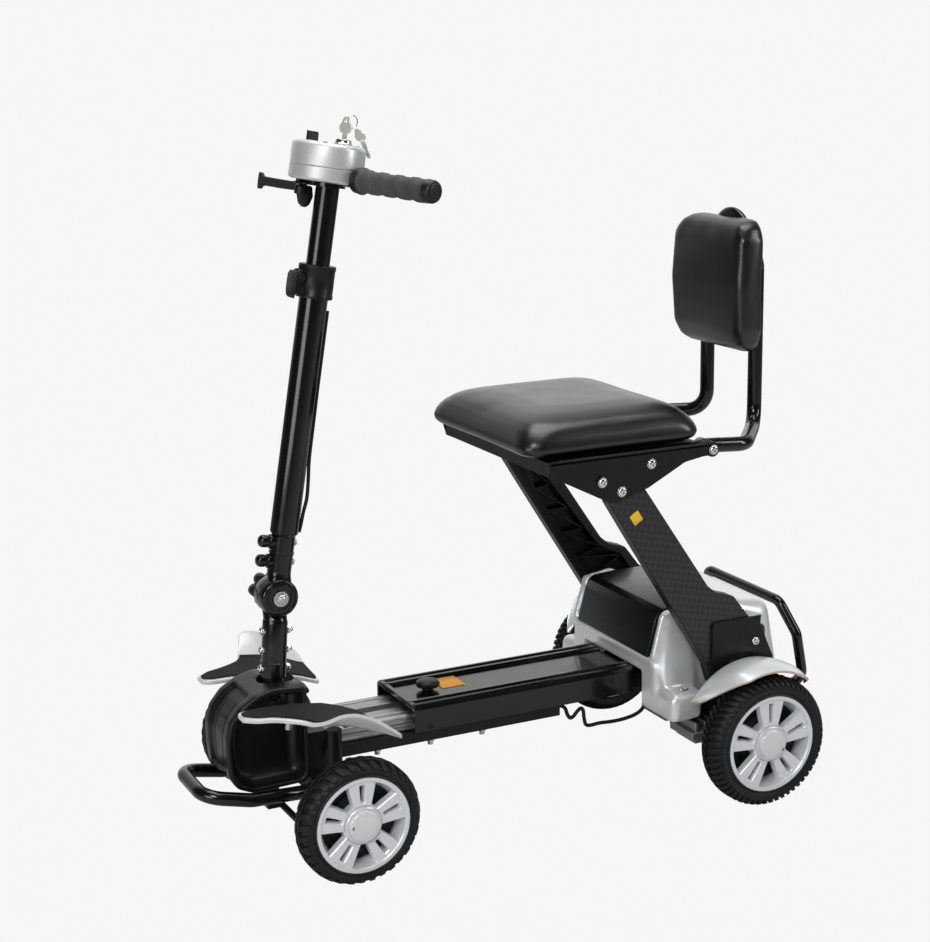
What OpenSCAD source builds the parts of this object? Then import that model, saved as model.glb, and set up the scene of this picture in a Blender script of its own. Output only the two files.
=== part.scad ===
// Folding four-wheel mobility scooter.
// +X forward, +Y to the rider's left, +Z up. The floor is Z = 0.
// Every station below is measured forward from the rear axle, in millimetres.

/* [Wheels] */
// Rear tyre diameter
rear_d = 200; // [190:1:205]
// Rear tyre width
rear_w = 50; // [44:1:52]
// Front tyre diameter
front_d = 180; // [172:1:184]
// Front tyre width
front_w = 46; // [40:1:48]
// Distance between the rear and front axles
wheelbase = 641; // [636:1:646]
// Distance from the middle plane to the middle of a rear tyre
rear_half_track = 230; // [229:1:232]
// Distance from the middle plane to the middle of a front tyre
front_half_track = 197; // [196:1:200]

/* [Deck] */
// Width of the deck box
deck_w = 134; // [130:2:140]
// Height of the deck box's top face
deck_top = 186; // [184:1:190]
// Front end of the deck box
deck_front = 495; // [485:1:500]

/* [Tiller] */
// Height of the tiller's fold pivot
fold_z = 362; // [358:1:366]
// Lean of the tiller tube, degrees
tiller_lean = 9.8; // [9.4:0.1:10.2]
// Lean of the steering stem, degrees
stem_lean = 4.3; // [4:0.1:4.6]
// Backward sweep of the handlebar, degrees
bar_sweep = 23; // [20:1:25]
// Diameter of the round console
console_d = 102; // [98:1:106]

/* [Seat] */
// Width across the two seat side plates
seat_w = 343; // [343:1:344]
// Height of the seat cushion above its pan
cushion_h = 68; // [60:1:74]

/* [Hidden] */

$fn = 64;
steel = [0.05, 0.05, 0.055];
silver = [0.72, 0.74, 0.76];
metal = [0.62, 0.63, 0.64];
run_gap = 0.05;      // radial clearance of a shaft that turns in a bore
axle_x = -336.75;       // rear axle in the part's own frame
front_x = wheelbase;
rear_z = rear_d / 2;
front_z = front_d / 2;

function unit(v) = v / norm(v);
function mid_dir(a, b) = unit(unit(a) + unit(b));

module from_axle() translate([axle_x, 0, 0]) children();
module both_sides() { children(); mirror([0, 1, 0]) children(); }
module on_side(s) { if (s > 0) children(); else mirror([0, 1, 0]) children(); }

// Cylinder of radius r from point a to point b, both lists of x, y, z
module rod(a, b, r) {
  d = b - a;
  translate(a)
    rotate([0, acos(d[2] / norm(d)), atan2(d[1], d[0])])
      cylinder(r = r, h = norm(d));
}

// Plate with its outline in X and Z, between y0 and y1
module xz_plate(outline, y0, y1)
  translate([0, y1, 0]) rotate([90, 0, 0]) linear_extrude(y1 - y0) polygon(outline);

// Bar with its section in Y and Z, between x0 and x1
module yz_bar(outline, x0, x1)
  translate([x0, 0, 0]) rotate([90, 0, 90]) linear_extrude(x1 - x0) polygon(outline);

module block(lo, hi) translate(lo) cube(hi - lo);
module y_cylinder(x, z, r, y0, y1)
  translate([x, y1, z]) rotate([90, 0, 0]) cylinder(r = r, h = y1 - y0);

// Points of the path through pts with every inner corner rounded to radius bend, in n steps
function rounded_path(pts, bend, n) = let (last = len(pts) - 1) concat(
  [pts[0]],
  [for (i = [1 : last - 1]) let (
      a = unit(pts[i] - pts[i - 1]), b = unit(pts[i + 1] - pts[i]), turn = acos(a * b),
      centre = pts[i] + unit(b - a) * bend / cos(turn / 2),
      start = pts[i] - a * bend * tan(turn / 2) - centre)
    for (k = [0 : n]) centre + start * cos(turn * k / n) + a * bend * sin(turn * k / n)],
  [pts[last]]);

// Many-sided tube swept along pts; ref is any direction that the path never takes
module sweep(pts, r, sides, ref = [0.6, -0.5, 0.6]) {
  last = len(pts) - 1;
  function dir(i) = i == 0 ? unit(pts[1] - pts[0])
    : i == last ? unit(pts[last] - pts[last - 1]) : mid_dir(pts[i] - pts[i - 1], pts[i + 1] - pts[i]);
  function ring(i) = let (d = dir(i), u = unit(cross(d, ref)), v = cross(d, u))
    [for (k = [0 : sides - 1]) pts[i] + r * (u * cos(360 * k / sides) + v * sin(360 * k / sides))];
  polyhedron(
    points = [for (i = [0 : last]) each ring(i)],
    faces = concat(
      [[for (k = [0 : sides - 1]) k]],
      [[for (k = [sides - 1 : -1 : 0]) last * sides + k]],
      [for (i = [0 : last - 1]) for (k = [0 : sides - 1]) let (n = (k + 1) % sides)
        each [[i * sides + k, (i + 1) * sides + k, (i + 1) * sides + n],
              [i * sides + k, (i + 1) * sides + n, i * sides + n]]]));
}

// Round tube through pts with every inner corner bent to radius bend
module bent_tube(pts, r, bend) sweep(rounded_path(pts, bend, 6), r, 20);
module cable(pts, r, sides) sweep(pts, r, sides);

// Points of a smooth curve through pts, with n steps between neighbours
function smooth(pts, n) = let (last = len(pts) - 1)
  [for (i = [0 : last - 1]) for (s = [0 : n - 1])
    let (t = s / n, a = pts[max(i - 1, 0)], b = pts[i], c = pts[i + 1], d = pts[min(i + 2, last)])
      0.5 * (2 * b + (c - a) * t + (2 * a - 5 * b + 4 * c - d) * t * t
        + (3 * b - a - 3 * c + d) * t * t * t),
   pts[last]];

// ---------------------------------------------------------------- wheels

rear_seat_r = 69.5;   // bead seat of the rear rim
front_seat_r = 64.5;  // bead seat of the front rim
lip = 4;              // how far a rim's lip stands above its bead seat
spoke_pairs = 5;
bolt_r = 4;

// Tyre about +Z, with a crowned tread and a groove for the rim's lips
module tyre(r, w, seat) {
  half = w / 2;
  shoulder = 12;
  color(steel) rotate_extrude()
    polygon(concat(
      [[seat, -half + 4], [seat, half - 4], [seat + lip + 0.5, half - 4], [seat + lip + 0.5, half]],
      [for (a = [0 : 15 : 90]) [r - shoulder + shoulder * sin(a), half - shoulder + shoulder * cos(a)]],
      [for (a = [0 : 15 : 90])
        [r - shoulder + shoulder * cos(a), -half + shoulder - shoulder * sin(a)]],
      [[seat + lip + 0.5, -half], [seat + lip + 0.5, -half + 4]]));
}

// Rim about +Z with its open face up: barrel, twin spokes, hub with a bore and a domed cap
module rim(w, seat, bore) {
  half = w / 2;
  hub_r = 20;
  barrel = 5;
  color(silver) difference() {
    union() {
      rotate_extrude()
        polygon([[seat - barrel, -half], [seat + lip, -half], [seat + lip, -half + 2.9],
          [seat - 0.1, -half + 2.9], [seat - 0.1, half - 2.9], [seat + lip, half - 2.9],
          [seat + lip, half], [seat - 1, half], [seat - barrel, half - 5]]);
      translate([0, 0, -half + 2]) cylinder(r = hub_r, h = w - 6);
      translate([0, 0, half - 4]) cylinder(r = hub_r + 3, h = 10.5);
      translate([0, 0, -2]) cylinder(r = seat - barrel + 1, h = 4);
      translate([0, 0, half - 14]) linear_extrude(9)
        for (i = [0 : spoke_pairs - 1]) for (s = [-1, 1])
          rotate(360 * i / spoke_pairs)
            polygon([[hub_r - 2, s * 2.5], [hub_r - 2, s * 8.5], [seat - 3, s * 14],
              [seat - 3, s * 4.5]]);
    }
    translate([0, 0, -half]) cylinder(r = bore, h = w - 6);
  }
}

module on_wheel(x, y, z, s) translate([x, s * y, z]) rotate([-90 * s, 0, 0]) children();

front_axle_r = 6;
rear_axle_r = 7.5;
module front_tyre(s) from_axle()
  on_wheel(front_x, front_half_track, front_z, s) tyre(front_z, front_w, front_seat_r);
module front_rim(s) from_axle()
  on_wheel(front_x, front_half_track, front_z, s)
    rim(front_w - 2, front_seat_r, front_axle_r + run_gap);
module rear_tyre(s) from_axle()
  on_wheel(0, rear_half_track, rear_z, s) tyre(rear_z, rear_w, rear_seat_r);
module rear_rim(s) from_axle()
  on_wheel(0, rear_half_track, rear_z, s) rim(rear_w - 2, rear_seat_r, rear_axle_r + run_gap);

shaft_in = 62;
module half_shaft(s) from_axle() on_side(s)
  color(metal) y_cylinder(0, rear_z, rear_axle_r, shaft_in, rear_half_track + rear_w / 2 - 8);

// ---------------------------------------------------------------- deck

deck_half = deck_w / 2;
wall = 10;               // side wall of the deck box
deck_floor = 144;        // lower edge of the deck box
deck_rear = 126;
rail_top = 167;
knob_x = 442;
pin_r = 6;
slide_travel = 80;

module deck_box() from_axle() color(steel) difference() {
  yz_bar([[-deck_half, deck_floor], [-deck_half, deck_top - 3], [-deck_half + 3, deck_top],
    [-38, deck_top], [-35, deck_top - 4], [35, deck_top - 4], [38, deck_top],
    [deck_half - 3, deck_top], [deck_half, deck_top - 3], [deck_half, deck_floor],
    [deck_half - wall, deck_floor], [deck_half - wall, rail_top + 3],
    [-deck_half + wall, rail_top + 3], [-deck_half + wall, deck_floor]], deck_rear, deck_front);
  for (s = [-1, 1]) for (g = [43, 50, 57])
    block([deck_rear - 1, s * g - 1.2, deck_top - 1.5], [deck_front + 1, s * g + 1.2, deck_top + 1]);
  translate([knob_x, 0, rail_top]) cylinder(r = pin_r + run_gap, h = 30);
}

module lock_knob() from_axle() color(steel) translate([knob_x, 0, 0]) {
  translate([0, 0, rail_top - 5]) cylinder(r = pin_r, h = deck_top + 8 - rail_top);
  translate([0, 0, deck_top]) rotate_extrude()
    polygon([[0, 0], [14, 0], [17, 2], [17, 7], [15, 9.5], [9, 11], [0, 11.5]]);
}

module slide_rail() from_axle() color(metal) difference() {
  yz_bar([[-50, 144], [-50, rail_top - 4], [-48, rail_top], [48, rail_top], [50, rail_top - 4],
    [50, 144]], 330, 624);
  for (s = [-1, 1]) for (g = [12, 24, 36])
    block([329, s * g - 2, rail_top - 3], [625, s * g + 2, rail_top + 1]);
  for (s = [-1, 1]) for (g = [149, 156])
    block([329, s * 50 - 2, g], [625, s * 50 + 2, g + 3]);
  block([knob_x - 10, -pin_r - 1.5, rail_top - 9],
        [knob_x + slide_travel + 8, pin_r + 1.5, rail_top + 1]);
}

module slide_channel() from_axle() color(steel) difference() {
  yz_bar([[-60, 126], [-60, 143.5], [60, 143.5], [60, 126]], 251, 624);
  yz_bar([[-56, 125], [-56, 139.5], [56, 139.5], [56, 125]], 250, 625);
}

// ---------------------------------------------------------------- rear module

pivot_x = -23;       // seat arm's lower pivot
pivot_z = 233;
stop_x = 26;         // bolt that the arm's foot rests against
stop_z = 188;
plate_out = 172.5;   // outer face of the outer bracket plate
plate_in = 143;
plate_t = 3;

bracket_outline = [[-56, 150], [-56, 204], [-40, 240], [-28, 264], [-15, 272], [50, 272],
  [53, 266], [53, 176], [28, 150]];
inner_outline = [[-60, 150], [-60, 204], [-48, 230], [-52, 262], [-24, 262], [20, 220],
  [20, 176], [0, 150]];

module rear_frame() from_axle() color(steel) {
  block([30, -55, 146], [240, 55, 169]);
  difference() {
    union() {
      for (s = [-1, 1]) block([-100, s * 82 - 12, 146], [60, s * 82 + 12, 169]);
      block([-100, -plate_out, 126], [-60, plate_out, 146]);
      block([30, -141, 126], [60, 141, 146]);
      both_sides() {
        block([-60, plate_in, 126], [-22, plate_out, 150]);
        block([-22, plate_out - plate_t, 126], [28, plate_out, 150]);
        block([-22, plate_in, 126], [0, plate_in + plate_t, 150]);
        block([-22, 94, 146], [0, plate_in, 150]);
        block([28, 141, 126], [53, plate_out, 138]);
        block([28, plate_out - plate_t, 138], [53, plate_out, 176]);
        xz_plate(bracket_outline, plate_out - plate_t, plate_out);
        xz_plate(inner_outline, plate_in, plate_in + plate_t);
      }
    }
    both_sides() y_cylinder(pivot_x, pivot_z, bolt_r + run_gap, plate_in - 1, plate_out + 1);
    both_sides() y_cylinder(stop_x, stop_z, bolt_r + run_gap, plate_out - 5, plate_out + 1);
  }
}

module chassis_bolts() from_axle() color(metal) both_sides() {
  y_cylinder(pivot_x, pivot_z, bolt_r, plate_in - 6, plate_out + 1);
  y_cylinder(pivot_x, pivot_z, 8, plate_out + 0.5, plate_out + 4.5);
  y_cylinder(pivot_x, pivot_z, 7, plate_in - 8, plate_in - 0.5);
  y_cylinder(stop_x, stop_z, bolt_r, plate_out - 3, plate_out + 1);
  y_cylinder(stop_x, stop_z, 6.5, plate_out + 0.5, plate_out + 3.5);
  for (p = [[150, 150], [165, 168], [468, 150]])
    y_cylinder(p[0], p[1], 3.5, deck_half + 0.1, deck_half + 2);
}

// Body shell over the battery and the drive
cover_half = 116;
shell_t = 3;
module shell_solid(d) {
  hull() {
    for (s = [-1, 1]) for (p = [[-94, 150], [118, 150]])
      translate([p[0], s * 130, p[1]]) cylinder(r = 8 - d, h = 4, $fn = 24);
    for (s = [-1, 1]) for (p = [[-74, 266], [-4, 275], [108, 279]])
      translate([p[0], s * 116, p[1]]) sphere(r = 9 - d, $fn = 24);
  }
}

module rear_housing() from_axle() color(silver) difference() {
  union() {
    shell_solid(0);
    block([110, -118, 126], [126, 118, 175]);
    both_sides() hull() {
      translate([71, 118, 126]) cylinder(r = 6, h = 36, $fn = 24);
      translate([117, 118, 126]) cylinder(r = 9, h = 36, $fn = 24);
      translate([70, 168, 126]) cylinder(r = 6, h = 36, $fn = 24);
      translate([114, 163, 126]) cylinder(r = 12, h = 36, $fn = 24);
      translate([90, 130, 160]) cylinder(r = 26, h = 8, $fn = 24);
    }
  }
  shell_solid(shell_t);
  block([-92, -132, 120], [-20, 132, 172]);
  block([-60, -128, 120], [121, 128, 172]);
  both_sides() block([67, 120, 120], [119, 168, 163]);
  block([100, -deck_half - 0.2, 120], [130, deck_half + 0.2, deck_top + 0.2]);
  block([-110, -82.5 - 12, 140], [-90, 82.5 + 12, 170]);
  xz_plate([[-3, 300], [-3, 277.5], [104, 270], [121, 207.5], [140, 207.5], [140, 300]],
    -cover_half - 0.4, cover_half + 0.4);
}

module battery_cover() from_axle() color(steel)
  xz_plate([[-2, 280.5], [-2, 284], [100, 282], [109, 276], [127.5, 208], [122, 208], [105, 271.5],
    [98, 276.5]], -cover_half, cover_half);

module battery_pack() from_axle() color(steel) block([8, -105, 176], [98, 105, 266]);
module motor_controller() from_axle() color(metal) block([-80, -70, 176], [0, 70, 210]);

// Gearbox, motor and the two axle carriers
module drive_unit() from_axle() color(metal) difference() {
  union() {
    y_cylinder(0, rear_z, 25, -60, 60);
    block([-45, -38, 70], [50, 38, 124]);
    translate([-112, 0, 98]) rotate([0, 90, 0]) cylinder(r = 24, h = 70);
    for (k = [0 : 5]) translate([-104 + 9 * k, 0, 98]) rotate([0, 90, 0]) cylinder(r = 27, h = 4);
    both_sides() {
      y_cylinder(0, rear_z, 13, 60, 196);
      block([-30, 118, 96], [92, 182, 108]);
      block([-30, 118, 108], [92, 124, 125.5]);
      block([40, 118, 86], [80, 170, 96]);
      for (k = [0 : 3]) block([34 + 16 * k, 124, 108], [38 + 16 * k, 180, 122]);
    }
  }
  both_sides() y_cylinder(0, rear_z, rear_axle_r + run_gap, 30, 200);
}

fender_r = 112;
fender_in = 186;
fender_from = 44;
fender_to = 140;
module rear_fender(s) from_axle() on_side(s) color(silver) difference() {
  union() {
    translate([0, 0, rear_z]) rotate([90, 0, 0])
      rotate([0, 0, fender_from]) rotate_extrude(angle = fender_to - fender_from)
        polygon([[fender_r, -fender_in], [fender_r, -240], [fender_r - 4, -250],
          [fender_r - 1, -251], [fender_r + 3, -241], [fender_r + 3, -fender_in]]);
    for (x = [-36, 12]) block([x, plate_out + 0.1, 204], [x + 16, fender_in + 2, 209]);
  }
  for (e = [[1, 38, 96], [-1, 50, 100]]) translate([0, 0, 100]) linear_extrude(100)
    polygon([[e[0] * e[1], 260], [e[0] * e[2], 196], [e[0] * 130, 196], [e[0] * 130, 260]]);
}

handle_r = 8;
module rear_handle() from_axle() color(steel) {
  bent_tube([[-100.5, 130, 136], [-145, 130, 137], [-130, 130, 215], [-118, 98, 262],
    [-118, -98, 262], [-130, -130, 215], [-145, -130, 137], [-100.5, -130, 136]], handle_r, 18);
}

loop_route = [[249, 44, 135], [240, 45, 134], [234, 46, 129], [231.5, 48, 120], [228, 50, 114.5],
  [222, 50, 116], [215, 50, 123], [209, 50, 126.5], [205, 50, 122], [203.5, 50, 110],
  [201, 51, 99.5], [194, 52, 97], [178, 54, 98.5], [158, 56, 98], [136, 58, 99.5], [116, 59, 104],
  [104, 59, 112], [98, 58, 126]];
module loop_cable() from_axle() color(steel) cable(smooth(loop_route, 3), 3, 10);

// ---------------------------------------------------------------- front module

stem_x = 675;                              // stem axis at the fold pivot's height
function stem_at(z) = [stem_x + (fold_z - z) * tan(stem_lean), 0, z];
module on_stem() translate([stem_x, 0, fold_z]) rotate([0, -stem_lean, 0]) children();

shell_half = 50;
shell_outline = [[652, 100], [660, 94], [738, 92], [760, 102], [771, 120], [774, 150], [774, 178],
  [767, 202], [750, 222], [728, 235], [700, 242], [652, 238]];
shell_hollow = [[658, 106], [664, 100], [736, 98], [755, 107], [765, 124], [768, 151], [768, 176],
  [762, 199], [746, 217], [726, 229], [699, 236], [658, 232]];
core_half = 24;

module front_shell() from_axle() color(steel) difference() {
  xz_plate(shell_outline, -shell_half, shell_half);
  both_sides() xz_plate(shell_hollow, core_half, shell_half + 1);
  xz_plate(shell_hollow, -core_half + 3, core_half - 3);
  block([640, -core_half + 3, 90], [662, core_half - 3, 245]);
  hull() {
    translate([687, 0, 225]) cylinder(r = 20, h = 30);
    translate([640, 0, 225]) cylinder(r = 20, h = 30);
  }
  block([655, -core_half + 3, 88], [720, core_half - 3, 104]);
}

kingpin_y = 150;
boss_r = 13;
pin_axis_r = 8;
post_r = 11;
head_r = 19;
stem_r = 14;
module front_beam() from_axle() color(steel) difference() {
  union() {
    block([626, -kingpin_y + 6, 74], [652, kingpin_y - 6, 100]);
    both_sides() translate([front_x, kingpin_y, 66]) cylinder(r = boss_r, h = 42);
    block([624.5, -46, 100], [652, 46, 166]);
    block([650, -16, 100], [682, 16, 122]);
    both_sides() translate([640, 116, 98]) cylinder(r = post_r, h = 96);
    on_stem() translate([0, 0, -255]) cylinder(r = head_r, h = 105);
  }
  both_sides() translate([front_x, kingpin_y, 60]) cylinder(r = pin_axis_r + run_gap, h = 60);
  on_stem() translate([0, 0, -300]) cylinder(r = stem_r + run_gap, h = 200);
}

bumper_r = 10;
module bumper_loop() from_axle() color(steel)
  bent_tube([[653.2, 61, 85], [745, 62, 89], [812, 57, 104], [812, -57, 104], [745, -62, 89],
    [653.2, -61, 85]], bumper_r, 32);

// Footrest outline seen from above, for the left side
rest_t = 6;
rest_slope = 9.2;
rest_x = 590;        // rear end of the tread
rest_z = 198;        // height of the tread at its rear end
rest_outline = [[0, 66], [10, 70], [80, 70], [158, 70], [172, 76], [179, 88], [177, 101],
  [165, 110], [142, 118], [118, 132], [96, 149], [84, 163], [-2, 163], [-6, 140]];
mat_outline = [[3, 72], [12, 75], [78, 75], [156, 75], [168, 80], [174, 89], [172, 98],
  [161, 106], [139, 114], [115, 128], [92, 146], [81, 158], [3, 158], [-1, 138]];
lobe_in = [[676, 163, 207], [584, 163, 193]];
lobe_out = [[664, 202, 236], [640, 203, 244], [606, 203, 236], [574, 206, 206]];
lobe_t = 4;

module on_tread() translate([rest_x, 0, rest_z]) rotate([0, -rest_slope, 0]) children();

module footrest(s) from_axle() on_side(s) color(silver) difference() {
  union() {
    on_tread() translate([0, 0, -rest_t]) linear_extrude(rest_t) polygon(rest_outline);
    hull() {
      for (p = concat(lobe_in, lobe_out)) translate(p) cylinder(r = 1.5, h = lobe_t, $fn = 16);
    }
  }
  translate([front_x, front_half_track, front_z]) rotate([90, 0, 0])
    cylinder(r = front_z + 10, h = 76, center = true);
}

module foot_mat(s) from_axle() on_side(s) color([0.12, 0.13, 0.13])
  on_tread() translate([0, 0, 0.1]) linear_extrude(2.5) polygon(mat_outline);

module front_bolts() from_axle() color(metal) {
  for (x = [545, 460, 375]) both_sides() translate([x, 44, 114]) cylinder(r = 4, h = 25.4);
  both_sides() for (p = [[700, 100], [612, 96]])
    on_tread() translate([p[0] - rest_x, p[1], -rest_t - 10]) cylinder(r = 5, h = 9.9);
}

module knuckle(s) from_axle() on_side(s) color(metal) {
  y = kingpin_y;
  translate([front_x, y, 57]) cylinder(r = pin_axis_r, h = 60);
  block([front_x - 13, y - 10, 111], [front_x + 13, y + 19, 117]);
  block([front_x - 13, y - 10, 57], [front_x + 13, y + 19, 63]);
  block([front_x - 13, y + 14.5, 57], [front_x + 13, y + 19, 117]);
  y_cylinder(front_x, front_z, front_axle_r, y + 18, front_half_track + 15);
  block([front_x, y - 8, 57], [front_x + 46, y + 2, 63]);
}

rod_x = front_x + 40;
module tie_rod() from_axle() color(metal) {
  rod([rod_x, -kingpin_y, 49], [rod_x, kingpin_y, 49], 5);
  block([rod_x, -9, 46], [rod_x + 22, 9, 52]);
}

// ---------------------------------------------------------------- steering stem and fold joint

disc_r = 27.5;
yoke_r = 18;
bolt_drop = [51, 79, 107];    // stem bolts, measured down the stem from the fold pivot
module steer_stem() from_axle() color(steel) on_stem() {
  translate([0, 0, -298]) cylinder(r = stem_r, h = 178);
  translate([0, 0, -140]) cylinder(r = 15, h = 20);
  translate([0, -7, -306]) cube([36, 14, 8]);
  translate([0, 0, -306]) cylinder(r = 12, h = 12);
}

module stem_yoke() from_axle() color(steel) difference() {
  on_stem() {
    difference() {
      union() {
        translate([0, 0, -119.8]) cylinder(r = yoke_r, h = 86);
        translate([0, 0, -98]) cylinder(r = yoke_r + 1, h = 2);
        translate([-17, -20, -34]) cube([34, 19.5, 20]);
        y_cylinder(0, 0, disc_r, -20, -0.5);
      }
      for (d = bolt_drop) translate([-30, 0, -d]) rotate([0, 90, 0]) cylinder(r = 3.05, h = 60);
    }
  }
  y_cylinder(stem_x, fold_z, 5 + run_gap, -40, 40);
}

module stem_bolts() from_axle() color(metal) on_stem() for (d = bolt_drop) translate([0, 0, -d])
  rotate([0, 90, 0]) {
    translate([0, 0, -27]) cylinder(r = 3, h = 50);
    translate([0, 0, -27]) cylinder(r = 5.5, h = 8.5);
    translate([0, 0, 18.5]) cylinder(r = 5.5, h = 4.5);
  }

module star_knob() from_axle() translate([stem_x, 0, fold_z]) color(steel) {
  y_cylinder(0, 0, 5, -26, 27);
  y_cylinder(0, 0, 7.5, 21.5, 27);
  y_cylinder(0, 0, 12, -30, -21);
  y_cylinder(0, 0, 19, -46, -28);
  for (k = [0 : 5]) rotate([0, 60 * k, 0]) y_cylinder(19, 0, 7.5, -44, -30);
}

// ---------------------------------------------------------------- tiller

module on_tiller() translate([stem_x, 0, fold_z]) rotate([0, -tiller_lean, 0]) children();
outer_r = 20;
inner_r = 16.5;
socket_r = 17;
tube_from = 88;
tube_to = 436;
collar_from = 417;
collar_to = 470;
cam_x = 29;           // cross pin of the clamp lever, in front of the tube
cam_z = 443.5;

module tiller_socket() from_axle() color(steel) difference() {
  on_tiller() union() {
    y_cylinder(0, 0, disc_r, 0.5, 20);
    translate([-17, 0.5, 14]) cube([34, 19.5, 20]);
    translate([0, 0, 33]) cylinder(r = socket_r, h = tube_from - 33.1);
    translate([0, 0, 62]) cylinder(r = socket_r + 1, h = 2.5);
    for (h = [50, 78]) translate([0, 0, h]) rotate([0, 90, 0]) {
      translate([0, 0, 10]) cylinder(r = 9, h = 18);
      translate([0, 0, 28]) sphere(r = 9);
      translate([0, 0, -22]) cylinder(r = 5, h = 12);
    }
  }
  y_cylinder(stem_x, fold_z, 5 + run_gap, -40, 40);
}

module tiller_tube() from_axle() color(steel) on_tiller() difference() {
  translate([0, 0, tube_from]) rotate_extrude()
    polygon([[0, 0], [17, 0], [outer_r, 4], [outer_r, tube_to - tube_from],
      [0, tube_to - tube_from]]);
  translate([0, 0, 110]) cylinder(r = inner_r + run_gap, h = 400);
}

module height_clamp() from_axle() color(steel) on_tiller() difference() {
  union() {
    translate([0, 0, collar_from]) cylinder(r = 26, h = collar_to - collar_from);
    translate([18, -12, collar_from + 8]) cube([10, 24, collar_to - collar_from - 16]);
    translate([cam_x, 0, cam_z]) rotate([90, 0, 0]) cylinder(r = 6.3, h = 24, center = true);
  }
  translate([0, 0, collar_from - 1]) cylinder(r = outer_r + 0.1, h = tube_to - collar_from + 1.1);
  translate([0, 0, tube_to]) cylinder(r = inner_r + run_gap, h = 60);
  translate([cam_x, 0, cam_z]) rotate([90, 0, 0]) cylinder(r = 3 + run_gap, h = 60, center = true);
  translate([15, -2.5, collar_from - 1]) cube([30, 5, 60]);
}

// Over-centre lever that squeezes the height clamp
module clamp_lever() from_axle() color(steel) on_tiller() {
  translate([cam_x, 0, cam_z]) rotate([90, 0, 0]) cylinder(r = 3, h = 33, center = true);
  both_sides() translate([cam_x - 4, 12.5, cam_z - 5]) cube([14.4, 4, 9]);
  translate([cam_x + 7, -16.5, cam_z - 26]) cube([3.4, 33, 26]);
}

conduit_route = [[-23, 0, 408], [-23, 0, 360], [-23, 0, 300], [-23, 1, 250], [-23.5, 1, 200],
  [-26, 2, 165], [-27, 2, 142], [-24.5, 2, 122], [-23.5, 1, 104], [-22.5, 0, 93]];
module tiller_conduit() from_axle() color(steel) on_tiller() cable(smooth(conduit_route, 3), 2.6, 8);

bar_h = 591.5;          // handlebar's centre line, measured up the tiller from the fold pivot
bar_r = 11;
grip_from = 54;
grip_len = 143;
stem_low = 230;
console_low = 583;
console_mid = 603;
console_high = 636;
console_r = console_d / 2;

module along_bar(s) translate([0, 0, bar_h]) rotate([0, 90, s * (90 + bar_sweep)]) children();

module handlebar_stem() from_axle() color(steel) on_tiller() {
  translate([0, 0, stem_low]) cylinder(r = inner_r, h = bar_h - stem_low);
  for (s = [-1, 1]) along_bar(s) cylinder(r = bar_r, h = grip_from + grip_len - 6);
  translate([0, 0, console_low - 6]) cylinder(r = 24, h = 5.9);
  translate([0, -22, console_low - 6]) cube([38, 12, 5.9]);
  translate([26, -22, lever_h + 11]) cube([12, 12, console_low - lever_h - 13]);
}

module console_base() from_axle() color(silver) on_tiller() difference() {
  translate([console_u, 0, console_low]) cylinder(r = console_r, h = console_mid - console_low);
  translate([console_u, 0, console_low + 14]) cylinder(r = console_r - 3, h = 20);
  for (s = [-1, 1]) along_bar(s) cylinder(r = bar_r + 0.2, h = 100);
  translate([0, 0, bar_h]) sphere(r = bar_r + 6);
  translate([0, 0, console_low - 1]) cylinder(r = inner_r + 0.1, h = 14);
}

console_u = 5;        // console's centre, forward of the tube's axis
knob_u = 31;          // speed knob, forward of the console's centre
key_u = -15;          // key switch, behind the console's centre
key_r = 3;
module console_cover() from_axle() color(silver) on_tiller() difference() {
  union() {
    translate([console_u, 0, console_mid + 0.1]) rotate_extrude()
      polygon([[0, 0], [console_r, 0], [console_r, 26], [console_r - 2, 30.5],
        [console_r - 7, 32.9], [0, 32.9]]);
    translate([key_u, 0, console_high - 1]) cylinder(r = 12, h = 7);
  }
  translate([console_u, 0, console_mid]) cylinder(r = console_r - 3, h = 28);
  translate([knob_u, 0, console_mid]) cylinder(r = 4 + run_gap, h = 60);
  translate([key_u, 0, console_mid]) cylinder(r = key_r + run_gap, h = 60);
}

module grip(s) from_axle() color([0.2, 0.21, 0.22]) on_tiller() along_bar(s) difference() {
  translate([0, 0, grip_from]) rotate_extrude()
    polygon([[0, 0], [16.8, 0], [17.8, 2], [17.8, 8], [15.2, 12], [16, 60], [15.2, grip_len - 14],
      [15.6, grip_len - 6], [13, grip_len], [0, grip_len]]);
  translate([0, 0, grip_from - 1]) cylinder(r = bar_r + 0.05, h = grip_len - 4.5);
}

lever_u = 32;
lever_v = -16;
lever_h = 563;
module throttle_lever() from_axle() color(steel) on_tiller() translate([lever_u, lever_v, lever_h]) {
  cylinder(r = 9, h = 10.8);
  translate([0, 0, 3]) rotate([0, 0, 6]) {
    translate([-2.5, -120, -3]) cube([5, 112, 13]);
    translate([-3.5, -124, -8]) cube([7, 12, 22]);
  }
  translate([-5, -3, -16]) cube([8, 12, 17]);
}

module speed_knob() from_axle() color(steel) on_tiller() translate([knob_u, 0, 0]) {
  translate([0, 0, console_high - 12]) cylinder(r = 4, h = 16);
  translate([0, 0, console_high + 0.5]) cylinder(r = 7.5, h = 12);
  translate([5, -1, console_high + 0.5]) cube([3.4, 2, 12]);
}

module ignition_key() from_axle() color(metal) on_tiller() translate([key_u, 0, 0]) {
  translate([0, 0, console_high - 15]) cylinder(r = key_r, h = 22);
  translate([-1, -4, console_high + 6.3]) cube([2, 8, 9]);
  translate([0, 1, console_high + 24]) rotate([0, 90, 0])
    cylinder(r = 11, h = 2, center = true);
}

// ---------------------------------------------------------------- seat

seat_px = 210;          // seat tilt pivot
seat_pz = 493;
arm_out = 168;
arm_in = 148;
arm_t = 3;
seat_out = seat_w / 2;
plate_thick = 3;
pan_z = 546;

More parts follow.
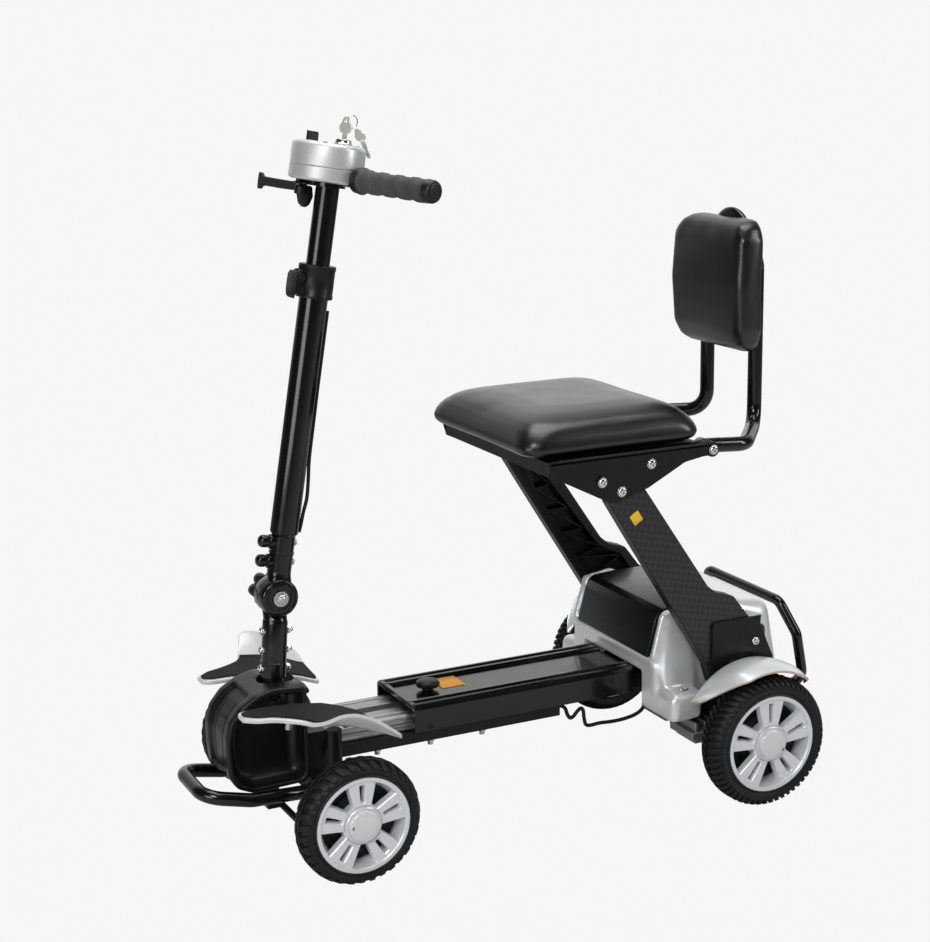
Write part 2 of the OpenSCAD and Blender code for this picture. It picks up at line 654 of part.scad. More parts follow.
arm_outline = [[50, 175], [58, 200], [59, 205], [200, 429], [231, 479], [222, 519], [198, 519],
  [182, 510], [60, 330], [46, 318], [14, 308], [-12, 274], [-44, 252], [-44, 216], [-18, 206],
  [18, 172]];

module seat_arm(s) from_axle() on_side(s) color(steel) difference() {
  xz_plate(arm_outline, arm_in, arm_out);
  xz_plate([[180, 424], [190, 480], [180, 470], [64, 318], [48, 306], [22, 296], [-2, 262],
    [-2, 250], [30, 216], [50, 214]], arm_in - 1, arm_out - arm_t);
  y_cylinder(pivot_x, pivot_z, bolt_r + run_gap, arm_in - 1, arm_out + 1);
  y_cylinder(seat_px, seat_pz, bolt_r + run_gap, arm_in - 1, arm_out + 1);
}

side_outline = [[326, 546], [322, 526], [236, 482], [216, 478], [166, 493], [104, 524], [72, 529],
  [66, 538], [70, 546]];
module seat_frame() from_axle() color(steel) {
  difference() {
    union() {
      both_sides() xz_plate(side_outline, seat_out - plate_thick, seat_out);
      block([76, -seat_out, pan_z], [328, seat_out, pan_z + 3]);
      block([302, -seat_out + plate_thick, 524], [326, seat_out - plate_thick, pan_z]);
      block([84, -seat_out + plate_thick, 530], [104, seat_out - plate_thick, pan_z]);
      both_sides() y_cylinder(56, 537, 11, 158, seat_out);
      both_sides() block([56, 158, 529], [86, seat_out, 545]);
    }
    both_sides() y_cylinder(56, 537, bolt_r + run_gap, 120, seat_out + 1);
    both_sides() y_cylinder(seat_px, seat_pz, bolt_r + run_gap, 150, seat_out + 1);
    both_sides() hull() {
      y_cylinder(242, 510, 5.5, 160, seat_out + 1);
      y_cylinder(258, 523, 5.5, 160, seat_out + 1);
    }
  }
}

module seat_bolts() from_axle() color(metal) both_sides() {
  y_cylinder(seat_px, seat_pz, bolt_r, 144, seat_out + 1);
  y_cylinder(seat_px, seat_pz, 8, seat_out + 0.1, seat_out + 4);
  y_cylinder(242, 510, 5, 150, seat_out + 1);
  y_cylinder(242, 510, 8, seat_out + 0.1, seat_out + 4);
  y_cylinder(161, 528, 8, seat_out + 0.1, seat_out + 4);
  y_cylinder(56, 537, bolt_r, 128, seat_out + 1);
  y_cylinder(56, 537, 7, seat_out + 0.1, seat_out + 4);
}

module seat_cushion() from_axle() color(steel) hull() {
  for (x = [108, 317]) for (s = [-1, 1]) translate([x, s * 130, pan_z + 5])
    cylinder(r = 38, h = cushion_h - 38, $fn = 32);
  for (x = [134, 293]) for (s = [-1, 1]) translate([x, s * 104, pan_z + 5 + cushion_h - 15])
    cylinder(r = 30, h = 1, $fn = 32);
  translate([212, 0, pan_z + 5 + cushion_h - 3]) cylinder(r = 60, h = 3, $fn = 32);
}

post_x = -87;
post_y = 65.5;
tube_r = 11;
module back_frame() from_axle() color(steel) difference() {
  union() {
    bent_tube([[34, 142, 536], [-20, 142, 532], [post_x, post_y, 542], [post_x, post_y, 812],
      [post_x, -post_y, 812], [post_x, -post_y, 542], [-20, -142, 532], [34, -142, 536]],
      tube_r, 34);
    both_sides() {
      rod([30, 142, 537], [56, 142, 537], tube_r);
      y_cylinder(56, 537, tube_r, 132, 157.5);
    }
    block([post_x + tube_r - 4, -80, 680], [post_x + tube_r, 80, 835]);
    translate([post_x - 3, 0, 817]) rotate([0, 90, 0]) cylinder(r = 50, h = 10);
  }
  both_sides() y_cylinder(56, 537, bolt_r + run_gap, 120, 170);
}

module back_pad() from_axle() color(steel) hull() {
  for (s = [-1, 1]) for (z = [690, 820]) {
    translate([post_x + tube_r + 1, s * 74, z]) rotate([0, 90, 0])
      cylinder(r = 34, h = 24, $fn = 32);
    translate([post_x + tube_r + 1, s * 68, z]) rotate([0, 90, 0])
      cylinder(r = 28, h = 40, $fn = 32);
  }
}

deck_box();
rear_frame();
rear_housing();
battery_cover();
battery_pack();
motor_controller();
drive_unit();
rear_fender(1);  // rear_fender_left
rear_fender(-1);  // rear_fender_right
rear_handle();
chassis_bolts();
loop_cable();
lock_knob();
slide_rail();
slide_channel();
front_shell();
front_beam();
bumper_loop();
footrest(1);  // footrest_left
footrest(-1);  // footrest_right
foot_mat(1);  // foot_mat_left
foot_mat(-1);  // foot_mat_right
front_bolts();
knuckle(1);  // knuckle_left
knuckle(-1);  // knuckle_right
tie_rod();
front_tyre(1);  // front_tyre_left
front_rim(1);  // front_rim_left
front_tyre(-1);  // front_tyre_right
front_rim(-1);  // front_rim_right
rear_tyre(1);  // rear_tyre_left
rear_rim(1);  // rear_rim_left
half_shaft(1);  // half_shaft_left
rear_tyre(-1);  // rear_tyre_right
rear_rim(-1);  // rear_rim_right
half_shaft(-1);  // half_shaft_right
steer_stem();
stem_yoke();
stem_bolts();
star_knob();
tiller_socket();
tiller_tube();
height_clamp();
clamp_lever();
tiller_conduit();
handlebar_stem();
console_base();
console_cover();
grip(1);  // grip_left
grip(-1);  // grip_right
throttle_lever();
speed_knob();
ignition_key();
seat_arm(1);  // seat_arm_left
seat_arm(-1);  // seat_arm_right
seat_frame();
seat_bolts();
seat_cushion();
back_frame();
back_pad();
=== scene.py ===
"""Looks of the folding mobility scooter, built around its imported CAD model.

Stations are millimetres: x forward from the rear axle, y to the rider's left, z up from the floor.
"""

import math

import bmesh
import bpy
from mathutils import Matrix, Vector
from mathutils.geometry import tessellate_polygon


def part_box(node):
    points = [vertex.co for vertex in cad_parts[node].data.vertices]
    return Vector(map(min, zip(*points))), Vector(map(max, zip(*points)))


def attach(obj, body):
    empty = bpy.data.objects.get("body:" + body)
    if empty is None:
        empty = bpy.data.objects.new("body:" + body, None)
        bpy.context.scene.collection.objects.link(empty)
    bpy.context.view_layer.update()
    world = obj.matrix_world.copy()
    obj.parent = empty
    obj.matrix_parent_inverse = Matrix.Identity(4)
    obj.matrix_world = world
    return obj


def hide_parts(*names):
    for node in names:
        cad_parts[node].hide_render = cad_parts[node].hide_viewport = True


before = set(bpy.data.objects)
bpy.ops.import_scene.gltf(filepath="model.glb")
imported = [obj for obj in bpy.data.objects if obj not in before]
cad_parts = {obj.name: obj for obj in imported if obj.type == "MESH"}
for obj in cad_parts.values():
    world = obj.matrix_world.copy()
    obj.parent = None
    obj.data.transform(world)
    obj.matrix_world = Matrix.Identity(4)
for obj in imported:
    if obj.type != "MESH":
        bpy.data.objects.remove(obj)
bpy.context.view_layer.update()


# ------------------------------------------------------------------ stations and frames


def centre(node):
    low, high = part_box(node)
    return (low + high) / 2


AXLE_X = centre("rear_tyre_left").x
REAR_R = centre("rear_tyre_left").z * 1000
REAR_Y = centre("rear_tyre_left").y * 1000
FRONT_R = centre("front_tyre_left").z * 1000
FRONT_Y = centre("front_tyre_left").y * 1000
FRONT_X = (centre("front_tyre_left").x - AXLE_X) * 1000
STEM_X = 675  # fold pivot of the tiller
FOLD_Z = 362
TILLER_LEAN, STEM_LEAN, BAR_SWEEP = 9.8, 4.3, 23  # degrees
BAR_H = 591.5  # handlebar above the fold pivot, along the tiller



def shift(x, y, z):
    return Matrix.Translation((x, y, z))


def spin(degrees, axis):
    return Matrix.Rotation(math.radians(degrees), 4, axis)


TO_FRAME = shift(AXLE_X, 0, 0) @ Matrix.Scale(0.001, 4)
AT_FOLD = shift(STEM_X, 0, FOLD_Z)
ON_TILLER = AT_FOLD @ spin(-TILLER_LEAN, "Y")
ON_STEM = AT_FOLD @ spin(-STEM_LEAN, "Y")
HERE = Matrix.Identity(4)
MIRROR = Matrix.Diagonal((1, -1, 1, 1))
SIDES = ((1, "left", HERE), (-1, "right", MIRROR))


def on_wheel(x, y, z, side):
    """Wheel frame: local z points out of the wheel's open face."""
    return shift(x, side * y, z) @ spin(-90 * side, "X")


def along_y(x, y, z):
    """Local z points along +y, from the point given."""
    return shift(x, y, z) @ spin(-90, "X")


def along_x(x, y, z):
    return shift(x, y, z) @ spin(90, "Y")


def along_bar(side):
    """Local z points out along one half of the handlebar."""
    return ON_TILLER @ shift(0, 0, BAR_H) @ spin(side * (90 + BAR_SWEEP), "Z") @ spin(90, "Y")


# ------------------------------------------------------------------ materials


class Nodes:
    """Small helper that adds and links shader nodes."""

    def __init__(self, name):
        self.mat = bpy.data.materials.new(name)
        self.mat.use_nodes = True
        self.tree = self.mat.node_tree
        self.shader = self.tree.nodes["Principled BSDF"]
        coords = self.tree.nodes.new("ShaderNodeTexCoord")
        self.place = coords.outputs["Object"]

    def feed(self, value, socket):
        if isinstance(value, bpy.types.NodeSocket):
            self.tree.links.new(value, socket)
        else:
            socket.default_value = value

    def add(self, kind, inputs=None, **settings):
        node = self.tree.nodes.new("ShaderNode" + kind)
        for key, value in settings.items():
            setattr(node, key, value)
        for key, value in (inputs or {}).items():
            self.feed(value, node.inputs[key])
        return node

    def scaled(self, factors):
        return self.add("Mapping", {"Vector": self.place, "Scale": factors}).outputs["Vector"]

    def noise(self, scale, detail=3, where=None):
        ins = {"Vector": where or self.place, "Scale": scale, "Detail": detail}
        return self.add("TexNoise", ins).outputs["Fac"]

    def voronoi(self, scale, feature="F1"):
        ins = {"Vector": self.place, "Scale": scale}
        return self.add("TexVoronoi", ins, feature=feature).outputs["Distance"]

    def math(self, op, a, b=0.0, clamp=False):
        return self.add("Math", {0: a, 1: b}, operation=op, use_clamp=clamp).outputs[0]

    def spread(self, value, low, high, source=(0.3, 0.7)):
        ins = {"Value": value, "From Min": source[0], "From Max": source[1], "To Min": low,
            "To Max": high}
        return self.add("MapRange", ins).outputs["Result"]

    def mix(self, fac, a, b):
        return self.add("Mix", {0: fac, 6: a, 7: b}, data_type="RGBA").outputs[2]

    def bump(self, height, depth, strength=1.0, normal=None):
        ins = {"Height": height, "Distance": depth, "Strength": strength}
        if normal:
            ins["Normal"] = normal
        return self.add("Bump", ins).outputs["Normal"]

    def soft_edges(self, radius):
        return self.add("Bevel", {"Radius": radius}, samples=4).outputs["Normal"]

    def set(self, **inputs):
        for key, value in inputs.items():
            self.feed(value, self.shader.inputs[key.replace("_", " ")])
        return self.mat


def rgb(value, tint=(1, 1, 1)):
    """Colour from a grey value and a tint; a ready colour passes through."""
    return value if isinstance(value, tuple) else (*(value * t for t in tint), 1)


def paint(name, dark, light, rough, coat, peel=0.0, metallic=0.0, edge=0.0006, tint=(1, 1, 1),
        spec=0.5):
    """Sprayed or powder paint: slight clouding, uneven gloss and orange peel."""
    n = Nodes(name)
    cloud = n.noise(9, 4)
    fine = n.noise(900, 2)
    colour = n.mix(n.spread(cloud, 0, 1), rgb(dark, tint), rgb(light, tint))
    gloss = n.math("ADD", n.spread(n.noise(35, 5), rough * 0.85, rough * 1.15),
        n.spread(fine, -0.02, 0.02))
    normal = n.bump(n.noise(420, 2), peel, 0.5, n.soft_edges(edge) if edge else None)
    return n.set(Base_Color=colour, Roughness=gloss, Metallic=metallic, Coat_Weight=coat,
        Coat_Roughness=0.06, Specular_IOR_Level=spec, Normal=normal)


def metal(name, value, rough, brushed=(1, 1, 1), depth=0.00002):
    """Bare or plated metal with fine directional scratches."""
    n = Nodes(name)
    lines = n.noise(260, 3, n.scaled(brushed))
    stain = n.noise(30, 3)
    colour = n.mix(n.spread(stain, 0, 1), rgb(value * 0.9), rgb(value))
    return n.set(Base_Color=colour, Metallic=1.0, Roughness=n.spread(lines, rough * 0.7, rough * 1.3),
        Normal=n.bump(lines, depth, 0.6, n.soft_edges(0.0004)))


def rubber(name, dark, light, rough, grain=700, depth=0.00012, dust=0.0):
    """Moulded rubber: fine grain, greyed by dust where dust is above 0."""
    n = Nodes(name)
    pores = n.noise(grain, 4)
    cloud = n.math("ADD", n.noise(14, 5), n.math("MULTIPLY", n.noise(90, 3), dust), True)
    colour = n.mix(n.spread(cloud, 0, 1, (0.35, 0.85)), rgb(dark), rgb(light))
    return n.set(Base_Color=colour, Roughness=n.spread(pores, rough - 0.08, rough + 0.1),
        Specular_IOR_Level=0.35, Normal=n.bump(pores, depth, 0.8))


def moulded(name, dark, light, rough, grain=520, depth=0.00006, edge=0.0008):
    """Moulded plastic with a spark-eroded texture."""
    n = Nodes(name)
    cells = n.voronoi(grain)
    cloud = n.noise(12, 4)
    return n.set(Base_Color=n.mix(n.spread(cloud, 0, 1), rgb(dark), rgb(light)),
        Roughness=n.spread(n.noise(60, 4), rough * 0.88, rough * 1.12), Specular_IOR_Level=0.4,
        Normal=n.bump(cells, depth, 0.7, n.soft_edges(edge) if edge else None))


def leatherette():
    """Smooth vinyl hide: pebbled cells with fine creases between them."""
    n = Nodes("black_leatherette")
    bent = n.math("ADD", n.voronoi(520), n.math("MULTIPLY", n.noise(160, 4), 0.8))
    creases = n.voronoi(330, feature="DISTANCE_TO_EDGE")
    grain = n.math("ADD", n.math("MULTIPLY", bent, 0.5), n.spread(creases, 0, 1, (0, 0.12)))
    cloud = n.noise(7, 4)
    return n.set(Base_Color=n.mix(n.spread(cloud, 0, 1), rgb(0.0022, (1, 1.05, 1.1)),
        rgb(0.0038, (1, 1.04, 1.07))), Roughness=n.spread(n.noise(25, 4), 0.31, 0.37), Coat_Weight=0.35,
        Coat_Roughness=0.25, Normal=n.bump(grain, 0.00005, 0.4))


def carbon():
    """Dark twill under lacquer, its tows running up and down the arm."""
    n = Nodes("carbon_weave")
    turned = n.add("Mapping", {"Vector": n.place, "Rotation": (0, math.radians(-32), 0)})
    split = n.add("SeparateXYZ", {"Vector": turned.outputs["Vector"]})
    across = n.math("MULTIPLY", split.outputs["X"], 150)
    along = n.math("MULTIPLY", split.outputs["Z"], 150)
    phase = n.math("ADD", across, n.math("FLOOR", along))
    over = n.math("PINGPONG", phase, 1.0)
    tow = n.math("PINGPONG", along, 0.5)
    weave = n.math("MULTIPLY", over, n.math("ADD", tow, 0.5))
    fibre = n.noise(500, 2, n.scaled((6, 1, 1)))
    colour = n.mix(n.math("ADD", n.math("MULTIPLY", weave, 0.8), n.math("MULTIPLY", fibre, 0.2)),
        rgb(0.004), rgb(0.035))
    return n.set(Base_Color=colour, Roughness=n.spread(weave, 0.3, 0.48, (0, 1)), Coat_Weight=0.2,
        Specular_IOR_Level=0.4, Coat_Roughness=0.2, Normal=n.bump(weave, 0.0001, 0.5))


def mat_rubber():
    """Foot mat: fine raised dots."""
    n = Nodes("mat_rubber")
    dots = n.spread(n.voronoi(650), 1, 0, (0.0, 0.5))
    return n.set(Base_Color=n.mix(n.spread(n.noise(18, 4), 0, 1), rgb(0.009), rgb(0.015)),
        Specular_IOR_Level=0.25, Roughness=0.8, Normal=n.bump(dots, 0.0003, 0.7))


# the part before the dot, since a name that the frame already uses gets a number
MATERIALS = {made.name.split(".")[0]: made for made in (paint("gloss_black", 0.002, 0.0035, 0.2, 0.35,
    0.00001, spec=0.35), paint("satin_black", 0.004, 0.006, 0.4, 0.05, 0.00003, spec=0.28),
    moulded("shell_black", 0.0035, 0.006, 0.34, 300, 0.00003, 0), paint("silver", 0.8, 0.84, 0.33, 0.35,
    0, 0.4, 0, (0.965, 1.0, 1.015)), paint("console_silver", 0.62, 0.68, 0.4, 0.15, 0.00001, 0.5,
    0.0008, (0.98, 1.0, 1.01)), paint("wheel_silver", 0.76, 0.8, 0.3, 0.25, 0, 0.3, 0,
    (0.97, 1.0, 1.03)), paint("white_silver", 0.7, 0.78, 0.28, 0.4, 0.00002, 0.1, 0.001,
    (0.98, 1.0, 1.01)), moulded("beige_edge", (0.6, 0.53, 0.38, 1), (0.68, 0.6, 0.45, 1), 0.5),
    metal("chrome", 0.8, 0.14), metal("zinc", 0.62, 0.3), metal("alloy", 0.42, 0.42, (0.12, 6, 6),
    0.00002), metal("casting", 0.3, 0.5, (1, 1, 1), 0.0001), paint("key_metal", 0.6, 0.68, 0.35, 0.1, 0,
    0.3, 0, (1.0, 0.97, 0.9)), rubber("tyre", 0.0035, 0.007, 0.52, 600, 0.00006, 0.2),
    rubber("grip_rubber", 0.05, 0.07, 0.6, 900, 0.0001, 0.3), rubber("soft_rubber", 0.008, 0.014, 0.6,
    900, 0.0001), mat_rubber(), moulded("black_plastic", 0.004, 0.006, 0.42),
    paint("panel_black", 0.003, 0.005, 0.3, 0.15, 0, spec=0.3), moulded("yellow_label",
    (0.80, 0.52, 0.02, 1), (0.86, 0.58, 0.03, 1), 0.5), moulded("orange_label", (0.86, 0.36, 0.02, 1),
    (0.9, 0.4, 0.03, 1), 0.45),)}
MATERIALS.update(leatherette=leatherette(), carbon=carbon())


# ------------------------------------------------------------------ mesh building


def placed(name, data):
    """A new object in the scene."""
    obj = bpy.data.objects.new(name, data)
    bpy.context.scene.collection.objects.link(obj)
    return obj


def new_mesh(name, made, scale=1):
    mesh = bpy.data.meshes.new(name)
    mesh.from_pydata([tuple(c / scale for c in p) for p in made[0]], [], [tuple(f) for f in made[1]])
    return mesh


def piece(name, made, material, body, replaces=(), at=HERE, smooth=45, bevel=0.0, level=0):
    """A mesh object from (points in mm, faces), placed by at and riding on a CAD body."""
    mesh = new_mesh(name, made)
    mesh.transform(TO_FRAME @ at)
    if at.determinant() < 0:
        mesh.flip_normals()
    obj = placed(name, mesh)
    for key in [material] if isinstance(material, str) else material:
        mesh.materials.append(MATERIALS[key])
    clean(mesh)
    if bevel:
        mod = obj.modifiers.new("bevel", "BEVEL")
        mod.width = bevel / 1000
        mod.segments = 3
        mod.limit_method = "ANGLE"
        mod.angle_limit = math.radians(32)
        mod.harden_normals = False
    if level:
        mod = obj.modifiers.new("subdivide", "SUBSURF")
        mod.levels = mod.render_levels = level
    shade(mesh, smooth)
    if body:
        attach(obj, body)
        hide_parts(*replaces)
    return obj


def clean(mesh):
    """Merges doubled points and turns every face outward."""
    bm = bmesh.new()
    bm.from_mesh(mesh)
    bmesh.ops.remove_doubles(bm, verts=bm.verts, dist=1e-6)
    bmesh.ops.recalc_face_normals(bm, faces=bm.faces)
    bm.to_mesh(mesh)
    bm.free()


def shade(mesh, angle):
    """Smooth shading with edges sharper than angle kept sharp."""
    mesh.polygons.foreach_set("use_smooth", [True] * len(mesh.polygons))
    mesh.set_sharp_from_angle(angle=math.radians(angle))


def join(*parts):
    """One (points, faces) from several."""
    points, faces = [], []
    for p, f in parts:
        base = len(points)
        points += [tuple(q) for q in p]
        faces += [tuple(i + base for i in face) for face in f]
    return points, faces


def moved(made, at):
    points, faces = made
    flip = at.determinant() < 0
    return ([tuple(at @ Vector(p)) for p in points], [tuple(reversed(f)) if flip else tuple(f)
        for f in faces])


def both(made):
    """A piece and its mirror image across the middle plane."""
    return join(made, moved(made, MIRROR))


def loft(rings, closed=False):
    """Skin over rings that have the same number of points; closed joins the last to the first."""
    n, m = len(rings), len(rings[0])
    faces = [(i * m + j, i * m + (j + 1) % m, (i + 1) % n * m + (j + 1) % m, (i + 1) % n * m + j)
        for i in range(n if closed else n - 1) for j in range(m)]
    if not closed:
        faces += [tuple(reversed(range(m))), tuple((n - 1) * m + j for j in range(m))]
    return [tuple(p) for ring in rings for p in ring], faces


def lathe(profile, sides=72, closed=False):
    """Solid of revolution about local z from (radius, height) points."""
    rings = [[(*polar(max(r, 0.001), t), h) for t in around(sides)] for r, h in profile]
    return loft(rings, closed)


def rod(radius, low, high, sides=32):
    """Plain cylinder along local z."""
    return lathe([(0, low), (radius, low), (radius, high), (0, high)], sides)


def washer(inner, outer, low, high, sides=32):
    return lathe([(inner, low), (outer, low), (outer, high), (inner, high)], sides, True)


def polar(radius, turn):
    return radius * math.cos(turn), radius * math.sin(turn)


def around(count):
    """Angles of count steps round a full turn."""
    return [2 * math.pi * k / count for k in range(count)]


def hexagon(radius):
    return [polar(radius, t) for t in around(6)]


def prism(outline, low, high):
    """Plate along local z with its outline in local x and y."""
    n = len(outline)
    points = [(x, y, z) for z in (low, high) for x, y in outline]
    sides = [(i, (i + 1) % n, n + (i + 1) % n, n + i) for i in range(n)]
    return points, [tuple(range(n)), tuple(reversed(range(n, 2 * n))), *sides]


def standing(made):
    """A solid drawn in local x and y, with its outline turned into x and z and its height into y."""
    points, faces = made
    return [(x, h, z) for x, z, h in points], [tuple(reversed(f)) for f in faces]


def xz_plate(outline, y0, y1):
    """Plate with its outline in x and z, between y0 and y1."""
    return standing(prism(outline, y0, y1))


def yz_bar(outline, x0, x1):
    points, faces = prism(outline, x0, x1)
    return [(h, y, z) for y, z, h in points], faces


def block(low, high):
    (x0, y0, z0), (x1, y1, z1) = low, high
    return prism([(x0, y0), (x1, y0), (x1, y1), (x0, y1)], z0, z1)


def fillet(outline, radius, steps=5):
    """Outline with each corner rounded; radius is one number or one for each corner."""
    out, n = [], len(outline)
    for i, corner in enumerate(outline):
        r = radius[i] if isinstance(radius, (list, tuple)) else radius
        p, a, b = Vector(corner), Vector(outline[i - 1]), Vector(outline[(i + 1) % n])
        u, v = (a - p).normalized(), (b - p).normalized()
        angle = u.angle(v) if r > 0 else math.pi
        if angle > math.radians(176):
            out.append(tuple(p))
            continue
        cut = min(r / math.tan(angle / 2), 0.48 * (a - p).length, 0.48 * (b - p).length)
        s, e = p + u * cut, p + v * cut
        for k in range(steps + 1):
            t = k / steps
            out.append(tuple(s * (1 - t) ** 2 + p * 2 * t * (1 - t) + e * t * t))
    return out


def spline(points, steps):
    """Points of a smooth curve through the given ones."""
    pts = [Vector(p) for p in points]
    n = len(pts)
    out = []
    for i in range(n - 1):
        a, b, c, d = (pts[min(max(i + k, 0), n - 1)] for k in (-1, 0, 1, 2))
        for s in range(steps):
            t = s / steps
            out.append(0.5 * (2 * b + (c - a) * t + (2 * a - 5 * b + 4 * c - d) * t * t +
                (3 * b - a - 3 * c + d) * t ** 3))
    return out + [pts[-1]]


def bent(points, bend, steps=8):
    """A path with its corners rounded to a bend radius."""
    pts = [Vector(p) for p in points]
    out = [pts[0]]
    for i in range(1, len(pts) - 1):
        a, b = (pts[i] - pts[i - 1]).normalized(), (pts[i + 1] - pts[i]).normalized()
        turn = a.angle(b)
        mid = pts[i] + (b - a).normalized() * bend / math.cos(turn / 2)
        start = pts[i] - a * bend * math.tan(turn / 2) - mid
        arc_points = [mid + start * math.cos(turn * k / steps) + a * bend * math.sin(turn * k / steps)
            for k in range(steps + 1)]
        out += [arc_points[0] - a * 2, *arc_points, arc_points[-1] + b * 2]
    return out + [pts[-1]]


def tube(path, radius, sides=28, rounded=True):
    """Round tube along a path; radius is one number or one for each point."""
    pts = [Vector(p) for p in path]
    n = len(pts)
    radii = list(radius) if isinstance(radius, (list, tuple)) else [radius] * n
    tangents = [(pts[min(i + 1, n - 1)] - pts[max(i - 1, 0)]).normalized() for i in range(n)]
    side = tangents[0].orthogonal().normalized()
    rings = []
    for i, (p, t, r) in enumerate(zip(pts, tangents, radii)):
        side = (side - t * side.dot(t)).normalized()
        up = t.cross(side)

        def ring(centre_at, size):
            return [centre_at + size * (side * math.cos(a) + up * math.sin(a)) for a in around(sides)]

        if rounded and i == 0:
            rings += [ring(p, r * 0.55), ring(p + t * r * 0.08, r * 0.85)]
            rings.append(ring(p + t * r * 0.25, r))
        elif rounded and i == n - 1:
            rings.append(ring(p - t * r * 0.25, r))
            rings += [ring(p - t * r * 0.08, r * 0.85), ring(p, r * 0.55)]
        else:
            rings.append(ring(p, r))
    return loft(rings)


def hull(*balls):
    """Convex hull of (x, y, z, radius) balls."""
    bm = bmesh.new()
    for x, y, z, r in balls:
        at = shift(x, y, z)
        bmesh.ops.create_uvsphere(bm, u_segments=24, v_segments=14, radius=r, matrix=at)
    result = bmesh.ops.convex_hull(bm, input=bm.verts)
    bmesh.ops.delete(bm, geom=result["geom_interior"], context="VERTS")
    loose = [v for v in bm.verts if not v.link_faces]
    bmesh.ops.delete(bm, geom=loose, context="VERTS")
    bm.verts.index_update()
    made = [tuple(v.co) for v in bm.verts], [tuple(v.index for v in f.verts) for f in bm.faces]
    bm.free()
    return made


def evaluated(obj):
    """(points, faces) of an object with its modifiers, which is then removed."""
    graph = bpy.context.evaluated_depsgraph_get()
    shape = obj.evaluated_get(graph).to_mesh()
    made = [tuple(v.co) for v in shape.vertices], [tuple(p.vertices) for p in shape.polygons]
    obj.evaluated_get(graph).to_mesh_clear()
    bpy.data.objects.remove(obj)
    return made


def scratch(made):
    """A temporary object in millimetres for modifiers to work on."""
    mesh = new_mesh("scratch", made)
    clean(mesh)
    return placed("scratch", mesh)


def cut(made, *tools):
    """made with each of tools taken away from it."""
    obj = scratch(made)
    cutters = [scratch(t) for t in tools]
    for c in cutters:
        mod = obj.modifiers.new("cut", "BOOLEAN")
        mod.object, mod.operation, mod.solver = c, "DIFFERENCE", "EXACT"
    bpy.context.view_layer.update()
    result = evaluated(obj)
    for c in cutters:
        bpy.data.objects.remove(c)
    return result


def melt(made, voxel, smooth):
    """Overlapping solids fused into one skin with soft blends between them."""
    obj = scratch(made)
    mod = obj.modifiers.new("fuse", "REMESH")
    mod.mode, mod.voxel_size = "VOXEL", voxel
    mod = obj.modifiers.new("relax", "SMOOTH")
    mod.factor, mod.iterations = 0.5, smooth
    bpy.context.view_layer.update()
    return evaluated(obj)


def bolt(radius, head, hex_depth=1.6):
    """Button-head screw from local z 0 up, with a hexagon socket."""
    rise = [(radius, 0), (radius, head * 0.35), (radius * 0.93, head * 0.65),
        (radius * 0.75, head * 0.9), (radius * 0.56, head)]
    turns = around(36)
    rings = [[(*polar(r, t), h) for t in turns] for r, h in rise]

    def six(size, h):
        """Hexagon with as many points as the round rings have."""
        sixth = math.pi / 3
        reach = [size / max(abs(math.cos((t + sixth / 2) % sixth - sixth / 2)), 0.1) for t in turns]
        return [(*polar(r, t), h) for r, t in zip(reach, turns)]

    rings += [six(radius * 0.4, head), six(radius * 0.38, head - hex_depth)]
    return loft(rings)


def nut(radius, high):
    """Hexagon nut with a domed cap."""
    cap = lathe([(0, high - 0.5), (radius * 0.78, high - 0.5), (radius * 0.72, high + 1.5),
        (radius * 0.5, high + 3.4), (radius * 0.2, high + 4.2), (0, high + 4.3)], 32)
    return join(prism(hexagon(radius), 0, high), cap)


def grow(outline, by):
    """Outline with every side moved outward by a distance, or inward when it is negative."""
    n = len(outline)
    area = sum(outline[i - 1][0] * outline[i][1] - outline[i][0] * outline[i - 1][1] for i in range(n))
    out = []
    for i in range(n):
        p, a, b = (Vector(outline[k][:2]) for k in (i, i - 1, (i + 1) % n))
        u, v = (p - a).normalized(), (b - p).normalized()
        miter = Vector((u.y + v.y, -u.x - v.x)).normalized()
        reach = by / max(miter.dot(Vector((u.y, -u.x))), 0.5)
        out.append(tuple(p + miter * (reach if area > 0 else -reach)))
    return out


def plate(outline, levels, holes=()):
    """Solid in local x and y whose outline grows by a given amount at each (height, growth) level."""
    points, faces, rows = [], [], []
    for height, by in levels:
        row = []
        for k, loop in enumerate([outline, *holes]):
            shaped = grow(loop, by if k == 0 else -by) if by else loop
            row.append((len(points), len(shaped)))
            points += [(x, y, height) for x, y in shaped]
        rows.append(row)
    for low, high in zip(rows, rows[1:]):
        for (a, m), (b, _) in zip(low, high):
            faces += [(a + i, a + (i + 1) % m, b + (i + 1) % m, b + i) for i in range(m)]
    for row in (rows[0], rows[-1]):
        loops = [[Vector((points[a + i][0], points[a + i][1], 0)) for i in range(m)] for a, m in row]
        faces += [tuple(row[0][0] + i for i in tri) for tri in tessellate_polygon(loops)]
    return points, faces


def arc(radius, start, end, steps, at=(0, 0)):
    """Points on a circle between two angles in degrees."""
    turns = [math.radians(start + (end - start) * k / steps) for k in range(steps + 1)]
    return [(at[0] + x, at[1] + y) for x, y in (polar(radius, t) for t in turns)]


def tint(obj, choose):
    """Gives each face the material slot that choose(centre in stations, normal) names."""
    back = TO_FRAME.inverted()
    for face in obj.data.polygons:
        face.material_index = choose(back @ face.center, face.normal)


